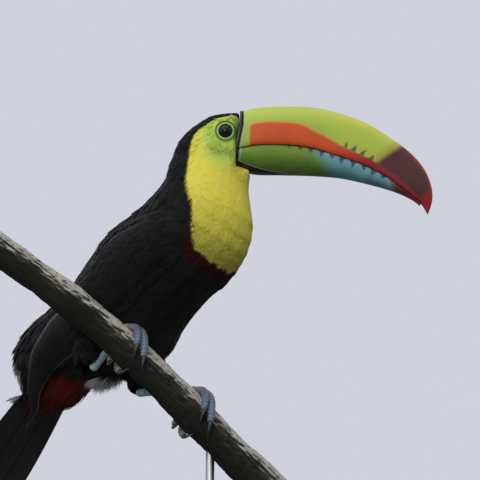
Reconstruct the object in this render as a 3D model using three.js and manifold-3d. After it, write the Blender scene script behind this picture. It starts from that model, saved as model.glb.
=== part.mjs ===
// A life-size keel-billed toucan (Ramphastos sulfuratus) gripping a cut length of branch, held by a
// plain display stand. Millimetres, +Z up. The origin is the middle of the stand's underside, the
// bill points along +X, and the bird's right side is turned towards -Y.

import * as THREE from 'three';
import { mergeVertices } from 'three/addons/utils/BufferGeometryUtils.js';
import Module from 'manifold-3d';

const wasm = await Module();
wasm.setup();

// ---------------------------------------------------------------- driving dimensions

const GAP = 0.3; // clearance between neighbouring pieces

// Where the bird and its perch stand over the base.
const BIRD_X = -15;
const BIRD_Y = -22;

// Body, from the root of the tail to the face. Each row is the middle of one section (x, y, z), the
// way it faces (heading to the right of +X and pitch above level, degrees) and its half depth from
// back to belly and half width.
const BODY = [
  [-71, 107, 160, 43, 50, 11, 18], // tail coverts, round the root of the tail
  [-67, 102, 164, 42, 54, 19, 20],
  [-65, 100.4, 170.6, 42, 57, 27, 24],
  [-61.4, 97.1, 178.2, 42, 55, 33.5, 28], // rump
  [-54.8, 92, 187.2, 42, 55, 36.5, 31.5],
  [-43, 81.5, 194.5, 42, 53, 40, 34.5], // vent
  [-27, 67, 201, 42, 51, 43.5, 37],
  [-10, 54, 212, 42, 50, 47, 38], // belly
  [4, 42, 231, 41, 47, 45, 38],
  [19, 28, 247.5, 40, 48, 45, 38],
  [34, 14, 257, 36, 50, 44, 37], // breast and shoulders
  [44, 4, 266, 28, 50, 41, 34.5],
  [50, -2, 274, 18, 52, 39, 32],
  [54, -5, 284, 10, 58, 36, 29], // root of the neck
  [54, -6, 293, 4, 65, 32, 26],
  [54, -6, 303, 0, 70, 29, 23],
  [56, -6, 310, 0, 71, 28, 21], // nape and throat
  [58, -6, 315, 0, 66, 28, 20],
  [61, -6, 319, 0, 56, 27, 19],
  [65, -6, 322.5, 0, 46, 25.5, 19], // crown
  [68.5, -6, 325.5, 0, 32, 23.5, 18.5],
  [72, -6, 327, 0, 18, 21, 17],
  [75.3, -6, 328.4, 0, 0, 19.5, 15.5], // face, at the root of the bill
];
const NECK_START = 12.5; // section where the trunk ends
const HEAD_START = 16.2; // section where the neck ends
const BODY_SIDES = 20;
const SECTIONS_PER_ROW = 1.5;

// Closed tail: where its root is, the way it faces, its length behind the root and the length buried
// in the body. It widens from rootWidth by extraWidth, thins from rootThick by lostThick, and is
// rounded off past roundFrom, a share of its length. camber is the radius of its roof.
const TAIL = {
  root: [-66.5, 102, 169.6],
  heading: 44,
  pitch: 41,
  length: 158,
  buried: 14,
  rootWidth: 22.5,
  extraWidth: 12,
  rootThick: 6.5,
  lostThick: 5,
  roundFrom: 0.78,
  camber: 65,
};
const TAIL_STEPS = 14;
const TAIL_SIDES = 14;
const TAIL_STEP_POWER = 1.3; // draws the sections closer together towards the tip
const TAIL_BLUNT = 0.15; // width left at the very tip, as a share

// Folded wings. Each row is the place along the body rows, the right wing's offset to the side and
// towards the belly, the left wing's, which rides over the rump, and the half height and thickness.
// The last rows carry the wing on past the body, along the tail.
const WING = [
  [11.8, 29, 4, 29, 4, 4, 1.5],
  [11.2, 34.5, 2, 34.5, 2, 13, 3.5],
  [10, 38.5, 0, 38.5, 0, 21.5, 5],
  [9, 39.5, 1, 39.5, 0, 24.5, 6],
  [8, 40, 1, 40, -2, 23, 6],
  [7.1, 40, -2, 40, -6, 20, 5.5],
  [6.3, 39, 1, 38, -12, 16.5, 5],
  [5.4, 36.5, 9, 33, -19, 14, 4.5],
  [3.8, 30.5, 16, 20, -28.5, 9, 4],
  [2.2, 27, 18, 14, -25.5, 6, 3.4],
  [0.6, 23.5, 21, 10, -18, 3.6, 2.2],
  [-1, 21, 23, 8, -13, 1.5, 0.8],
];
const TAIL_ROW = 10; // length of one body row when the rows are carried on along the tail
const WING_HUG = 46; // radius to which the wing curls round the flank
const WING_SIDES = 12;
const WING_STEPS_PER_ROW = 2;

// Bill. Outlines of each half seen from the side, from the gape corner forward (x) and up (z).
const BILL_ROOT = [75.55, -6, 323.4];
const CULMEN = [
  [0.3, 25], [12.5, 27.6], [29.5, 28.3], [49.5, 27.6], [68, 23.5], [86, 16.6],
  [104, 5], [116.4, -4.8], [125.2, -15.8], [129.5, -27], [130.1, -37], [127, -46.8],
];
const GAPE = [
  [-2.5, -4.2], [12.4, -1.6], [27.4, -1.4], [43, -2.6], [57.5, -6], [74, -11.2],
  [85.7, -15.6], [98, -21.9], [108, -28.6], [116.4, -34.6], [122.4, -39.3], [126, -45.6],
];
const KEEL = [
  [-4.3, -14.8], [9, -19], [27.4, -19.6], [49.3, -20.2], [67.8, -21.8],
  [85.6, -25.7], [104, -31.1], [115, -36.2], [121.5, -41],
];
// Half sections from the meeting line (0) to the outline (1), with the share of the width at each.
const UPPER_SECTION = [
  [0.01, 0.9], [0.2, 1], [0.42, 0.98], [0.62, 0.86], [0.78, 0.69], [0.9, 0.48], [0.97, 0.27], [1, 0.1],
];
const LOWER_SECTION = [
  [0.02, 0.96], [0.25, 0.97], [0.5, 0.9], [0.72, 0.74], [0.88, 0.52], [0.97, 0.28], [1, 0.1],
];
const BILL_HALF_WIDTH = [15, 15, 14.2, 13.2, 12, 10.4, 8.4, 5.6, 1.2];
const LOWER_SHARE = 0.94; // width of the lower half against the upper
const BILL_SECTIONS = 14;

// Eyeballs: the middle of the right one, measured to the side of the head's own middle.
const EYE = { x: 65.2, z: 330.8, side: 11.8, radius: 6.5 };
const HEAD_Y = -6;

// Perch: its middle line, with the radius growing from the upper end to the lower.
const PERCH_LINE = [
  [-98, 0, 260], [-53.5, 0, 228], [-21.6, 0, 203.2], [7.7, 0, 177],
  [33.2, 0, 152.4], [55.3, 0, 130.4], [75, 0, 110.5], [116, 0, 72],
];
const PERCH_RADIUS = [10.4, 12.4];
const PERCH_SWELL = { height: 0.4, waves: 5 }; // the branch's thicker and thinner places
const PERCH_STEPS = 17;
const PERCH_SIDES = 14;

// Legs. For each: the middle of its grip on the perch line (x, z), the heel and the knee.
const LEGS = {
  right: { grip: [-8.4, 188.2], heel: [-26.5, 23, 173.8], knee: [-24, 30, 202], hip: [-18, 50, 214] },
  left: { grip: [38.3, 147.7], heel: [3.5, 46, 160], knee: [9, 58, 186], hip: [2, 66, 208] },
};
// Toes in the order inner hind, inner front, outer front, outer hind. Angles run round the perch from
// its top towards -Y, and shifts run down along it.
const TOES = [
  { name: '1', start: -54, end: -168, shift: [-4, 4], radius: 2.5 },
  { name: '2', start: -40, end: 66, shift: [-3, 12], radius: 2.8 },
  { name: '3', start: -40, end: 78, shift: [-1, 21], radius: 3 },
  { name: '4', start: -54, end: -190, shift: [-2, 14], radius: 2.7 },
];
const TOE_TAPER = 0.18; // loss of radius from the ankle to the claw, as a share
const TOE_LIFT = 0.9; // height of the toe's root over the bark
const CLAW = { from: 3, arc: 36, radius: 1.9, taper: 0.85, lift: 0.7 };
const ANKLE = { angle: -46, shift: -3, radius: 4 };
const TARSUS = { radius: 2.8, ends: 0.7 };
const THIGH = { heelRadius: 9, extra: 6, from: 0.12 };

const BASE = { radius: 95, height: 13, chamfer: 3, sides: 28 };
const BASE_LIP = 1; // bevel round the underside
const ROD = { x: 55, y: 0, radius: 3, top: 125, flange: 11, flangeHeight: 4 };
const ROD_COVE = 1; // slope from the flange's edge up to the rod

const FINISH = {
  black: { color: 0x0d0d10, roughness: 0.6 },
  yellow: { color: 0xe0cf3a, roughness: 0.65 },
  green: { color: 0x9cc43c, roughness: 0.35 },
  eye: { color: 0x0a0604, roughness: 0.1 },
  leg: { color: 0x8fb0cc, roughness: 0.55 },
  claw: { color: 0x2a2c30, roughness: 0.4 },
  bark: { color: 0x6f6c5c, roughness: 0.9 },
  steel: { color: 0x8c8f92, roughness: 0.35, metalness: 0.9 },
  wood: { color: 0x3a2a1e, roughness: 0.5 },
};

// ---------------------------------------------------------------- geometry helpers

const radians = THREE.MathUtils.degToRad;
const vector = (point) => new THREE.Vector3(...point);

/** Reads a value between numbered rows with a smooth curve through them. */
function between(rows, place) {
  const last = rows.length - 1;
  const index = THREE.MathUtils.clamp(Math.floor(place), 0, last - 1);
  const t = place - index;
  const rowAt = (step) => rows[THREE.MathUtils.clamp(index + step, 0, last)];
  const [a, b, c, d] = [rowAt(-1), rowAt(0), rowAt(1), rowAt(2)];
  return b.map((value, n) => {
    const slopeIn = (c[n] - a[n]) / 2;
    const slopeOut = (d[n] - value) / 2;
    const fall = value - c[n];
    const square = -3 * fall - 2 * slopeIn - slopeOut;
    const cube = 2 * fall + slopeIn + slopeOut;
    return value + slopeIn * t + square * t ** 2 + cube * t ** 3;
  });
}

/** A closed skin over a row of rings with the same number of points, with a flat cap at each end. */
function loft(rings) {
  const sides = rings[0].length;
  const points = rings.flat();
  const faces = [];
  for (let row = 0; row + 1 < rings.length; row += 1) {
    for (let side = 0; side < sides; side += 1) {
      const a = row * sides + side;
      const b = row * sides + ((side + 1) % sides);
      faces.push(a, b, b + sides, a, b + sides, a + sides);
    }
  }
  [0, rings.length - 1].forEach((row) => {
    const total = rings[row].reduce((sum, point) => sum.add(point), new THREE.Vector3());
    const middle = total.divideScalar(sides);
    const hub = points.push(middle) - 1;
    for (let side = 0; side < sides; side += 1) {
      const edge = [row * sides + ((side + 1) % sides), row * sides + side];
      faces.push(hub, ...(row === 0 ? edge : edge.reverse()));
    }
  });
  const skin = new THREE.BufferGeometry().setFromPoints(points);
  return skin.setIndex(volume(points, faces) > 0 ? faces : faces.reverse());
}

/** Signed volume of a closed skin: positive when its faces point out. */
function volume(points, faces) {
  let total = 0;
  for (let n = 0; n < faces.length; n += 3) {
    const [a, b, c] = [points[faces[n]], points[faces[n + 1]], points[faces[n + 2]]];
    total += a.dot(b.clone().cross(c)) / 6;
  }
  return total;
}

/** A round bar along a curve, whose radius is a function of the place along it from 0 to 1. */
function taper(curve, radiusAt, steps, sides) {
  const frames = curve.computeFrenetFrames(steps, false);
  const rings = [];
  for (let step = 0; step <= steps; step += 1) {
    const middle = curve.getPointAt(step / steps);
    const radius = radiusAt(step / steps);
    rings.push(circle(middle, frames.normals[step], frames.binormals[step], radius, radius, sides));
  }
  return loft(rings);
}

/** The points of an ellipse round a middle, on two axes. */
function circle(middle, first, second, halfFirst, halfSecond, sides) {
  return Array.from({ length: sides }, (_, n) => {
    const angle = (n / sides) * 2 * Math.PI;
    return middle.clone()
      .addScaledVector(first, halfFirst * Math.cos(angle))
      .addScaledVector(second, halfSecond * Math.sin(angle));
  });
}

/** The solid inside a closed geometry, ready to be joined and cut. */
function solid(geometry) {
  const bare = geometry.clone();
  bare.deleteAttribute('normal');
  bare.deleteAttribute('uv');
  const welded = mergeVertices(bare);
  const mesh = new wasm.Mesh({
    numProp: 3,
    vertProperties: welded.getAttribute('position').array,
    triVerts: new Uint32Array(welded.getIndex().array),
  });
  return new wasm.Manifold(mesh);
}

/** The largest of the bodies that a cut leaves. */
function largest(body) {
  return body.decompose().reduce((best, part) => (part.volume() > best.volume() ? part : best));
}

/** The geometry of a solid's surface. */
function surface(body) {
  const { vertProperties, triVerts, numProp } = body.getMesh();
  const geometry = new THREE.BufferGeometry();
  const positions = new Float32Array((vertProperties.length / numProp) * 3);
  for (let n = 0; n < positions.length / 3; n += 1) {
    positions.set(vertProperties.subarray(n * numProp, n * numProp + 3), n * 3);
  }
  geometry.setAttribute('position', new THREE.BufferAttribute(positions, 3));
  geometry.setIndex([...triVerts]);
  return geometry;
}

const bird = new THREE.Group();
bird.position.set(BIRD_X, BIRD_Y, 0);
const stand = new THREE.Group();

/** Adds a named piece to a group, from a geometry or from a solid. */
function piece(group, name, form, finish) {
  const geometry = form.isBufferGeometry ? form : surface(form);
  const mesh = new THREE.Mesh(geometry, new THREE.MeshStandardMaterial(FINISH[finish]));
  mesh.name = name;
  group.add(mesh);
}

// ---------------------------------------------------------------- bill

/** A curve in the bill's upright plane through points ahead of and above the gape corner. */
const billCurve = (points) => new THREE.CatmullRomCurve3(points.map(([x, z]) => vector([x, 0, z])));

/** One half of the bill between an outer outline and the line where the halves meet. */
function billHalf(outer, meeting, sectionHalf, share) {
  const rings = Array.from({ length: BILL_SECTIONS + 1 }, (_, n) => {
    const t = n / BILL_SECTIONS;
    const [outside, inside] = [billCurve(outer).getPointAt(t), billCurve(meeting).getPointAt(t)];
    const [halfWidth] = between(BILL_HALF_WIDTH.map((value) => [value]), t * (BILL_HALF_WIDTH.length - 1));
    const side = sectionHalf.map(([depth, width]) => inside.clone().lerp(outside, depth)
      .add(new THREE.Vector3(0, width * halfWidth * share, 0)));
    const otherSide = side.map(({ x, y, z }) => new THREE.Vector3(x, -y, z)).reverse();
    return [...side, ...otherSide];
  });
  const half = loft(rings);
  half.translate(...BILL_ROOT);
  return half;
}

const billUpper = solid(billHalf(CULMEN, GAPE, UPPER_SECTION, 1));
const lowerHalf = solid(billHalf(KEEL, GAPE.slice(0, -1), LOWER_SECTION, LOWER_SHARE));
const billLower = largest(lowerHalf.subtract(billUpper.translate([0, 0, -GAP])));
piece(bird, 'bill_upper', billUpper, 'green');
piece(bird, 'bill_lower', billLower, 'green');

// ---------------------------------------------------------------- trunk, neck and head

/** Axes of a part that faces a heading and a pitch: its right, its underside and the way it faces. */
function axes(heading, pitch) {
  const [turn, rise] = [radians(heading), radians(pitch)];
  const right = new THREE.Vector3(-Math.sin(turn), -Math.cos(turn), 0);
  const level = Math.cos(rise);
  const ahead = new THREE.Vector3(level * Math.cos(turn), -level * Math.sin(turn), Math.sin(rise));
  return { right, ahead, down: right.clone().cross(ahead).negate() };
}

const tailAxes = axes(TAIL.heading, TAIL.pitch);

/** The body's section at a place along its rows, carried on along the tail for places below 0. */
function bodySection(place) {
  const [x, y, z, heading, pitch, halfDepth, halfWidth] = between(BODY, Math.max(place, 0));
  const middle = new THREE.Vector3(x, y, z).addScaledVector(tailAxes.ahead, Math.min(place, 0) * TAIL_ROW);
  return { middle, halfDepth, halfWidth, ...axes(heading, pitch) };
}

/** The body between two places, grown on all sides. */
function bodyBetween(from, to, growth = 0) {
  const steps = Math.round((to - from) * SECTIONS_PER_ROW);
  const rings = Array.from({ length: steps + 1 }, (_, n) => {
    const place = from + ((to - from) * n) / steps;
    const { middle, right, down, ahead, halfWidth, halfDepth } = bodySection(place);
    middle.addScaledVector(ahead, growth * ((2 * n) / steps - 1));
    return circle(middle, right, down, halfWidth + growth, halfDepth + growth, BODY_SIDES);
  });
  return solid(loft(rings));
}

/** The part of a solid on one side of a body section: ahead of it with side 1, behind with -1. */
function trim(body, place, side) {
  const { middle, ahead } = bodySection(place);
  const normal = ahead.clone().multiplyScalar(side);
  return body.trimByPlane(normal.toArray(), normal.dot(middle) + GAP / 2);
}

function eyeBall(side, growth = 0) {
  const ball = new THREE.SphereGeometry(EYE.radius + growth, 12, 8);
  ball.rotateX(Math.PI / 2);
  ball.translate(EYE.x, HEAD_Y - side * EYE.side, EYE.z);
  return ball;
}

const flesh = bodyBetween(0, BODY.length - 1);
const fleshAndGap = bodyBetween(0, BODY.length - 1, GAP);
const sockets = solid(eyeBall(1, GAP)).add(solid(eyeBall(-1, GAP)));

const bill = billUpper.add(billLower);
const billBed = bill.translate([-GAP, 0, -GAP]).add(bill.translate([-GAP, 0, GAP])).add(bill);

piece(bird, 'head', trim(flesh, HEAD_START, 1).subtract(sockets).subtract(billBed), 'yellow');
piece(bird, 'neck', trim(trim(flesh, HEAD_START, -1), NECK_START, 1), 'yellow');
piece(bird, 'eye_right', eyeBall(1), 'eye');
piece(bird, 'eye_left', eyeBall(-1), 'eye');

// ---------------------------------------------------------------- tail

/** The closed fan of tail feathers: roofed, widening towards the end and rounded at the tip. */
function tailForm(growth = 0) {
  const whole = TAIL.length + TAIL.buried;
  const rings = Array.from({ length: TAIL_STEPS + 1 }, (_, n) => {
    const along = TAIL.length - whole * (1 - n / TAIL_STEPS) ** TAIL_STEP_POWER;
    const share = THREE.MathUtils.clamp(along / TAIL.length, 0, 1);
    const past = Math.max((share - TAIL.roundFrom) / (1 - TAIL.roundFrom), 0);
    const rounding = Math.sqrt(Math.max(1 - past ** 2, TAIL_BLUNT ** 2));
    const halfWidth = (TAIL.rootWidth + TAIL.extraWidth * Math.sin(share * 2)) * rounding + growth;
    const halfThick = TAIL.rootThick - TAIL.lostThick * share ** 0.6 + growth;
    const middle = vector(TAIL.root).addScaledVector(tailAxes.ahead, -along);
    return circle(middle, tailAxes.right, tailAxes.down, halfWidth, halfThick, TAIL_SIDES).map((point) => {
      const out = point.clone().sub(middle).dot(tailAxes.right);
      return point.addScaledVector(tailAxes.down, (out * out) / (2 * TAIL.camber));
    });
  });
  return solid(loft(rings));
}

const tail = tailForm();
piece(bird, 'tail', tail.subtract(fleshAndGap), 'black');

// ---------------------------------------------------------------- wings

/** The folded wing on one side (1 right, -1 left): a long blade that curls round the flank. */
function wingForm(side, growth = 0) {
  const steps = (WING.length - 1) * WING_STEPS_PER_ROW;
  const rings = Array.from({ length: steps + 1 }, (_, n) => {
    const row = between(WING, n / WING_STEPS_PER_ROW);
    const [place, , , , , halfHeight, halfThick] = row;
    const [out, low] = side > 0 ? row.slice(1, 3) : row.slice(3, 5);
    const { middle, right, down } = bodySection(place);
    const lean = Math.atan2(low, out);
    const flank = right.clone().multiplyScalar(side);
    const outward = flank.clone().multiplyScalar(Math.cos(lean)).addScaledVector(down, Math.sin(lean));
    const upward = flank.clone().multiplyScalar(Math.sin(lean)).addScaledVector(down, -Math.cos(lean));
    const centre = middle.clone().addScaledVector(flank, out).addScaledVector(down, low);
    const ring = circle(centre, outward, upward, halfThick + growth, halfHeight + growth, WING_SIDES);
    return ring.map((point) => {
      const height = point.clone().sub(centre).dot(upward);
      return point.addScaledVector(outward, -(height * height) / (2 * WING_HUG));
    });
  });
  return solid(loft(rings));
}

const wingBed = fleshAndGap.add(tailForm(GAP));
piece(bird, 'wing_right', largest(wingForm(1).subtract(wingBed)), 'black');
piece(bird, 'wing_left', largest(wingForm(-1).subtract(wingBed)), 'black');

// ---------------------------------------------------------------- perch

const perchCurve = new THREE.CatmullRomCurve3(PERCH_LINE.map(vector));
const perchSwell = (t) => PERCH_SWELL.height * Math.sin(2 * Math.PI * PERCH_SWELL.waves * t);
const perchRadius = (t) => THREE.MathUtils.lerp(...PERCH_RADIUS, t) + perchSwell(t);

/** The upright rod with the flange at its foot. */
const rodForm = (growth) => {
  const { radius, top, flange, flangeHeight } = ROD;
  const foot = BASE.height + GAP - growth;
  const profile = [
    [0, foot],
    [flange + growth, foot],
    [flange + growth, foot + flangeHeight],
    [radius + growth, foot + flangeHeight + ROD_COVE],
    [radius + growth, top + growth],
    [0, top + growth],
  ];
  const rod = new THREE.LatheGeometry(profile.map(([x, y]) => new THREE.Vector2(x, y)), 16);
  rod.rotateX(Math.PI / 2);
  rod.translate(ROD.x + BIRD_X, ROD.y + BIRD_Y, 0);
  return rod;
};

const perch = solid(taper(perchCurve, perchRadius, PERCH_STEPS, PERCH_SIDES));
const drill = solid(rodForm(GAP)).translate([-BIRD_X, -BIRD_Y, 0]);
piece(bird, 'perch', perch.subtract(drill), 'bark');

// ---------------------------------------------------------------- legs

/** The middle, direction, top and near side of the perch under a point of its line. */
function perchFrame(x, z) {
  const target = new THREE.Vector3(x, 0, z);
  const samples = Array.from({ length: 401 }, (_, n) => n / 400);
  const distance = (t) => perchCurve.getPointAt(t).distanceTo(target);
  const t = samples.reduce((best, sample) => (distance(sample) < distance(best) ? sample : best));
  const along = perchCurve.getTangentAt(t);
  const top = new THREE.Vector3(-along.z, 0, along.x);
  return {
    middle: perchCurve.getPointAt(t),
    along,
    top: top.z > 0 ? top : top.negate(),
    near: new THREE.Vector3(0, -1, 0),
    radius: perchRadius(t) + PERCH_SWELL.height,
  };
}

/** A curve that winds round the perch at a distance from its middle line. */
class GripCurve extends THREE.Curve {
  constructor(frame, angles, shifts, distances) {
    super();
    Object.assign(this, { frame, angles, shifts, distances });
  }

  getPoint(t) {
    const { middle, along, top, near } = this.frame;
    const angle = radians(THREE.MathUtils.lerp(...this.angles, t));
    const distance = THREE.MathUtils.lerp(...this.distances, t);
    return middle.clone()
      .addScaledVector(along, THREE.MathUtils.lerp(...this.shifts, t))
      .addScaledVector(top, Math.cos(angle) * distance)
      .addScaledVector(near, Math.sin(angle) * distance);
  }
}

/** The middle curves and solids of one toe and its claw. */
function toeForms(frame, { name, start, end, shift, radius }) {
  const [shiftFrom, shiftTo] = shift;
  const turn = Math.sign(end - start);
  const rise = (shiftTo - shiftFrom) / Math.abs(end - start);
  const tipRadius = radius * (1 - TOE_TAPER);
  const toe = new GripCurve(
    frame,
    [start, end],
    shift,
    [frame.radius + radius + TOE_LIFT, frame.radius + tipRadius + GAP],
  );
  const claw = new GripCurve(
    frame,
    [end + turn * CLAW.from, end + turn * CLAW.arc],
    [shiftTo + rise * CLAW.from, shiftTo + rise * CLAW.arc],
    [frame.radius + tipRadius + GAP, frame.radius + CLAW.lift],
  );
  return {
    name,
    toe: (growth) => solid(taper(toe, (t) => radius * (1 - TOE_TAPER * t) + growth, 7, 7)),
    claw: (growth) => solid(taper(claw, (t) => CLAW.radius * (1 - CLAW.taper * t) + growth, 5, 6)),
  };
}

/** Builds the tarsus, the gripping foot and its claws on one side, and returns what the rest needs. */
function buildLeg(side, { grip, heel, knee, hip }) {
  const frame = perchFrame(...grip);
  const ankleDistance = frame.radius + ANKLE.radius;
  const ankle = new GripCurve(
    frame,
    [ANKLE.angle, ANKLE.angle],
    [ANKLE.shift, ANKLE.shift],
    [ankleDistance, ankleDistance],
  ).getPoint(0);
  const toes = TOES.map((toe) => toeForms(frame, toe));
  const foot = (growth) => toes.reduce(
    (joined, { toe }) => joined.add(toe(growth)),
    solid(new THREE.SphereGeometry(ANKLE.radius + growth, 8, 6)).translate(ankle.toArray()),
  );
  piece(bird, `foot_${side}`, toes.reduce((rest, { claw }) => rest.subtract(claw(GAP)), foot(0)), 'leg');
  toes.forEach(({ name, claw }) => piece(bird, `claw_${side}_${name}`, claw(0), 'claw'));

  const heelPoint = vector(heel);
  const shank = new THREE.CatmullRomCurve3([ankle, ankle.clone().lerp(heelPoint, 0.5), heelPoint]);
  const drumstick = new THREE.CatmullRomCurve3([
    heelPoint.clone().lerp(vector(knee), THIGH.from),
    vector(knee),
    vector(hip),
  ]);
  const thighRadius = (t) => THIGH.heelRadius + THIGH.extra * Math.sin(Math.min(t * 2.4, Math.PI / 2));
  const thigh = (growth) => solid(taper(drumstick, (t) => thighRadius(t) + growth, 9, 12));
  const shankRadius = (t) => TARSUS.radius + TARSUS.ends * (2 * t - 1) ** 4;
  const tarsus = (growth) => solid(taper(shank, (t) => shankRadius(t) + growth, 7, 8));
  piece(bird, `tarsus_${side}`, largest(tarsus(0).subtract(foot(GAP)).subtract(thigh(GAP))), 'leg');
  return { side, thigh: thigh(0), legAndGap: foot(GAP).add(tarsus(GAP)) };
}

const legs = Object.entries(LEGS).map(([side, leg]) => buildLeg(side, leg));
legs.forEach(({ side, thigh }) => {
  const wingAndGap = wingForm(side === 'right' ? 1 : -1, GAP);
  piece(bird, `thigh_${side}`, largest(thigh.subtract(fleshAndGap).subtract(wingAndGap)), 'black');
});

// The belly feathers give way to the legs and the perch.
const perchAndGap = solid(taper(perchCurve, (t) => perchRadius(t) + GAP, PERCH_STEPS, PERCH_SIDES));
const gripAndGap = legs.reduce((joined, { legAndGap }) => joined.add(legAndGap), perchAndGap);
piece(bird, 'trunk', largest(trim(flesh, NECK_START, -1).subtract(gripAndGap)), 'black');

// ---------------------------------------------------------------- stand

const { radius, height, chamfer } = BASE;
const baseProfile = [
  [0, 0],
  [radius - BASE_LIP, 0],
  [radius, BASE_LIP],
  [radius, height - chamfer],
  [radius - chamfer, height],
  [0, height],
];
const base = new THREE.LatheGeometry(baseProfile.map(([x, y]) => new THREE.Vector2(x, y)), BASE.sides);
base.rotateX(Math.PI / 2);
piece(stand, 'stand_base', base, 'wood');
piece(stand, 'stand_rod', rodForm(0), 'steel');

const toucan = new THREE.Group();
toucan.add(bird, stand);

export default toucan;
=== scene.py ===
"""A life-size keel-billed toucan gripping a cut branch on a display stand, dressed round its frame.

Tables and sizes are in millimetres, in the frame's own axes: +X the way the bill points, -Y the side
of the bird's right flank, +Z up. Meshes are made in metres.
"""

import logging
import math
from collections.abc import Callable, Sequence
from dataclasses import dataclass, field, replace
from enum import Enum

import bmesh
import bpy
import numpy as np
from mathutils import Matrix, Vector, kdtree


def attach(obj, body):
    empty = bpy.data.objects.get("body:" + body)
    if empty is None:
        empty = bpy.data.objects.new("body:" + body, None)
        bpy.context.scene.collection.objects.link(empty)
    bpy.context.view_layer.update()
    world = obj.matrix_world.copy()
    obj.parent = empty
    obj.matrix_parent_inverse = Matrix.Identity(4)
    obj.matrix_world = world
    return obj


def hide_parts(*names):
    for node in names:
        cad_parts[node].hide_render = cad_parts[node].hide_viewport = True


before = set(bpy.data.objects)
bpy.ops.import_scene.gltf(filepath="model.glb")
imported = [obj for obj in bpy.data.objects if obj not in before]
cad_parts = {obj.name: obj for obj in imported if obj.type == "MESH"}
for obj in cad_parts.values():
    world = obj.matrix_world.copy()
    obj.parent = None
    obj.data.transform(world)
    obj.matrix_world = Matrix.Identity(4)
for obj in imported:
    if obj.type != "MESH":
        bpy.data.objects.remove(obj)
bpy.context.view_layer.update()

MM = 0.001
BODY_NAME = "root"
PERCHED = np.array([-15.0, -22.0, 0.0])  # where the bird and its branch stand over the base
HEAD_Y = -6.0 + PERCHED[1]  # upright plane through the head and the bill
FAR = 99.0  # millimetres, for a vertex that is near nothing

Array = np.ndarray
Rows = Sequence[Sequence[float]]
Colour = tuple[float, float, float]
Piece = bpy.types.Object
Mesh = bpy.types.Mesh
Solid = tuple[Array, list, dict[str, Array]]  # vertices, faces and marks
log = logging.getLogger("toucan")


class Side(Enum):
    """A side of the bird; the value is the sign of its offset along the body's own right."""

    RIGHT = 1
    LEFT = -1

    @property
    def word(self) -> str:
        """The side in lower case, as the frame's node names have it."""
        return self.name.lower()


# The parts of the coat, each sown as one piece.
Zone = Enum(
    "Zone", "BARE FACE CAP BIB BREAST BELLY BACK VENT THIGHS COVERTS_RIGHT COVERTS_LEFT DOWN THROAT", start=0
)


# --- curves and meshes


def smooth(low: float | Array, high: float | Array, value: float | Array) -> Array:
    """A soft step of a value, from 0 at low to 1 at high."""
    t = np.clip((np.asarray(value, float) - low) / (np.asarray(high, float) - low), 0, 1)
    return t * t * (3 - 2 * t)


def between(rows: Rows | Array, place: float | Array) -> Array:
    """Reads a table at places between its numbered rows, on a smooth curve through them."""
    table = np.asarray(rows, float)
    place = np.asarray(place, float)
    last = len(table) - 1
    index = np.clip(np.floor(place).astype(int), 0, last - 1)
    t = (place - index)[..., None]
    a, b, c, d = (table[np.clip(index + step, 0, last)] for step in (-1, 0, 1, 2))
    slope_in, slope_out, fall = (c - a) / 2, (d - b) / 2, b - c
    square = -3 * fall - 2 * slope_in - slope_out
    cube = 2 * fall + slope_in + slope_out
    return b + slope_in * t + square * t**2 + cube * t**3


def unit(vectors: Array) -> Array:
    """The vectors, each made one unit long."""
    return vectors / np.maximum(np.linalg.norm(vectors, axis=-1, keepdims=True), 1e-9)


class Path:
    """A smooth curve through points, read by the share of its length."""

    def __init__(self, points: Rows | Array, samples: int = 40) -> None:
        """Measures the curve, in so many steps from one of its points to the next."""
        count = len(points) - 1
        self.points = between(points, np.linspace(0, count, samples * count + 1))
        steps = np.linalg.norm(np.diff(self.points, axis=0), axis=1)
        self.length = float(steps.sum())
        self.shares = np.concatenate([[0], np.cumsum(steps)]) / self.length

    def at(self, share: float | Array) -> Array:
        """The points at shares of the length."""
        return np.stack([np.interp(share, self.shares, column) for column in self.points.T], -1)

    def ahead(self, share: float | Array) -> Array:
        """The direction of the curve at shares of its length."""
        share = np.asarray(share, float)
        step = 0.01
        return unit(self.at(np.minimum(share + step, 1)) - self.at(np.maximum(share - step, 0)))


def loft(rings: Array) -> tuple[Array, list[tuple[int, ...]]]:
    """Closes a skin over rings of points (rings, points, 3), with a fan at each end."""
    rows, sides = rings.shape[:2]
    points = np.concatenate([rings.reshape(-1, 3), rings[[0, -1]].mean(1)])
    faces = []
    for row in range(rows - 1):
        for side in range(sides):
            a, b = row * sides + side, row * sides + (side + 1) % sides
            faces.append((a, b, b + sides, a + sides))
    for hub, first in ((rows * sides, 0), (rows * sides + 1, (rows - 1) * sides)):
        for side in range(sides):
            faces.append((hub, first + (side + 1) % sides, first + side))
    return points, faces


def round_rings(middles: Array, first: Array, second: Array, sides: int) -> Array:
    """Elliptical rings round middles, from the half axes of each as vectors."""
    angles = np.linspace(0, 2 * math.pi, sides, endpoint=False)[:, None]
    return middles[:, None] + np.cos(angles) * first[:, None] + np.sin(angles) * second[:, None]


def tube(middles: Array, first: Array, second: Array, reach: Array) -> Array:
    """Rings round middles, from two directions and the distance of each point (rings, sides)."""
    angle = np.linspace(0, 2 * math.pi, reach.shape[1], endpoint=False)
    across, up = np.cos(angle) * reach, np.sin(angle) * reach
    return middles[:, None] + first[:, None] * across[..., None] + second[:, None] * up[..., None]


def lathe(middles: Array, radii: Array, upright: int, sides: int) -> tuple[Array, list]:
    """Closes round rings that lie along X and along the axis whose number is upright."""
    ring = np.asarray(radii)[:, None]
    return loft(round_rings(middles, ring * (1.0, 0, 0), ring * np.eye(3)[upright], sides))


def add_object(name: str, data: bpy.types.ID) -> Piece:
    """Makes an object of its data and links it to the scene."""
    made = bpy.data.objects.new(name, data)
    bpy.context.scene.collection.objects.link(made)
    return made


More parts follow.
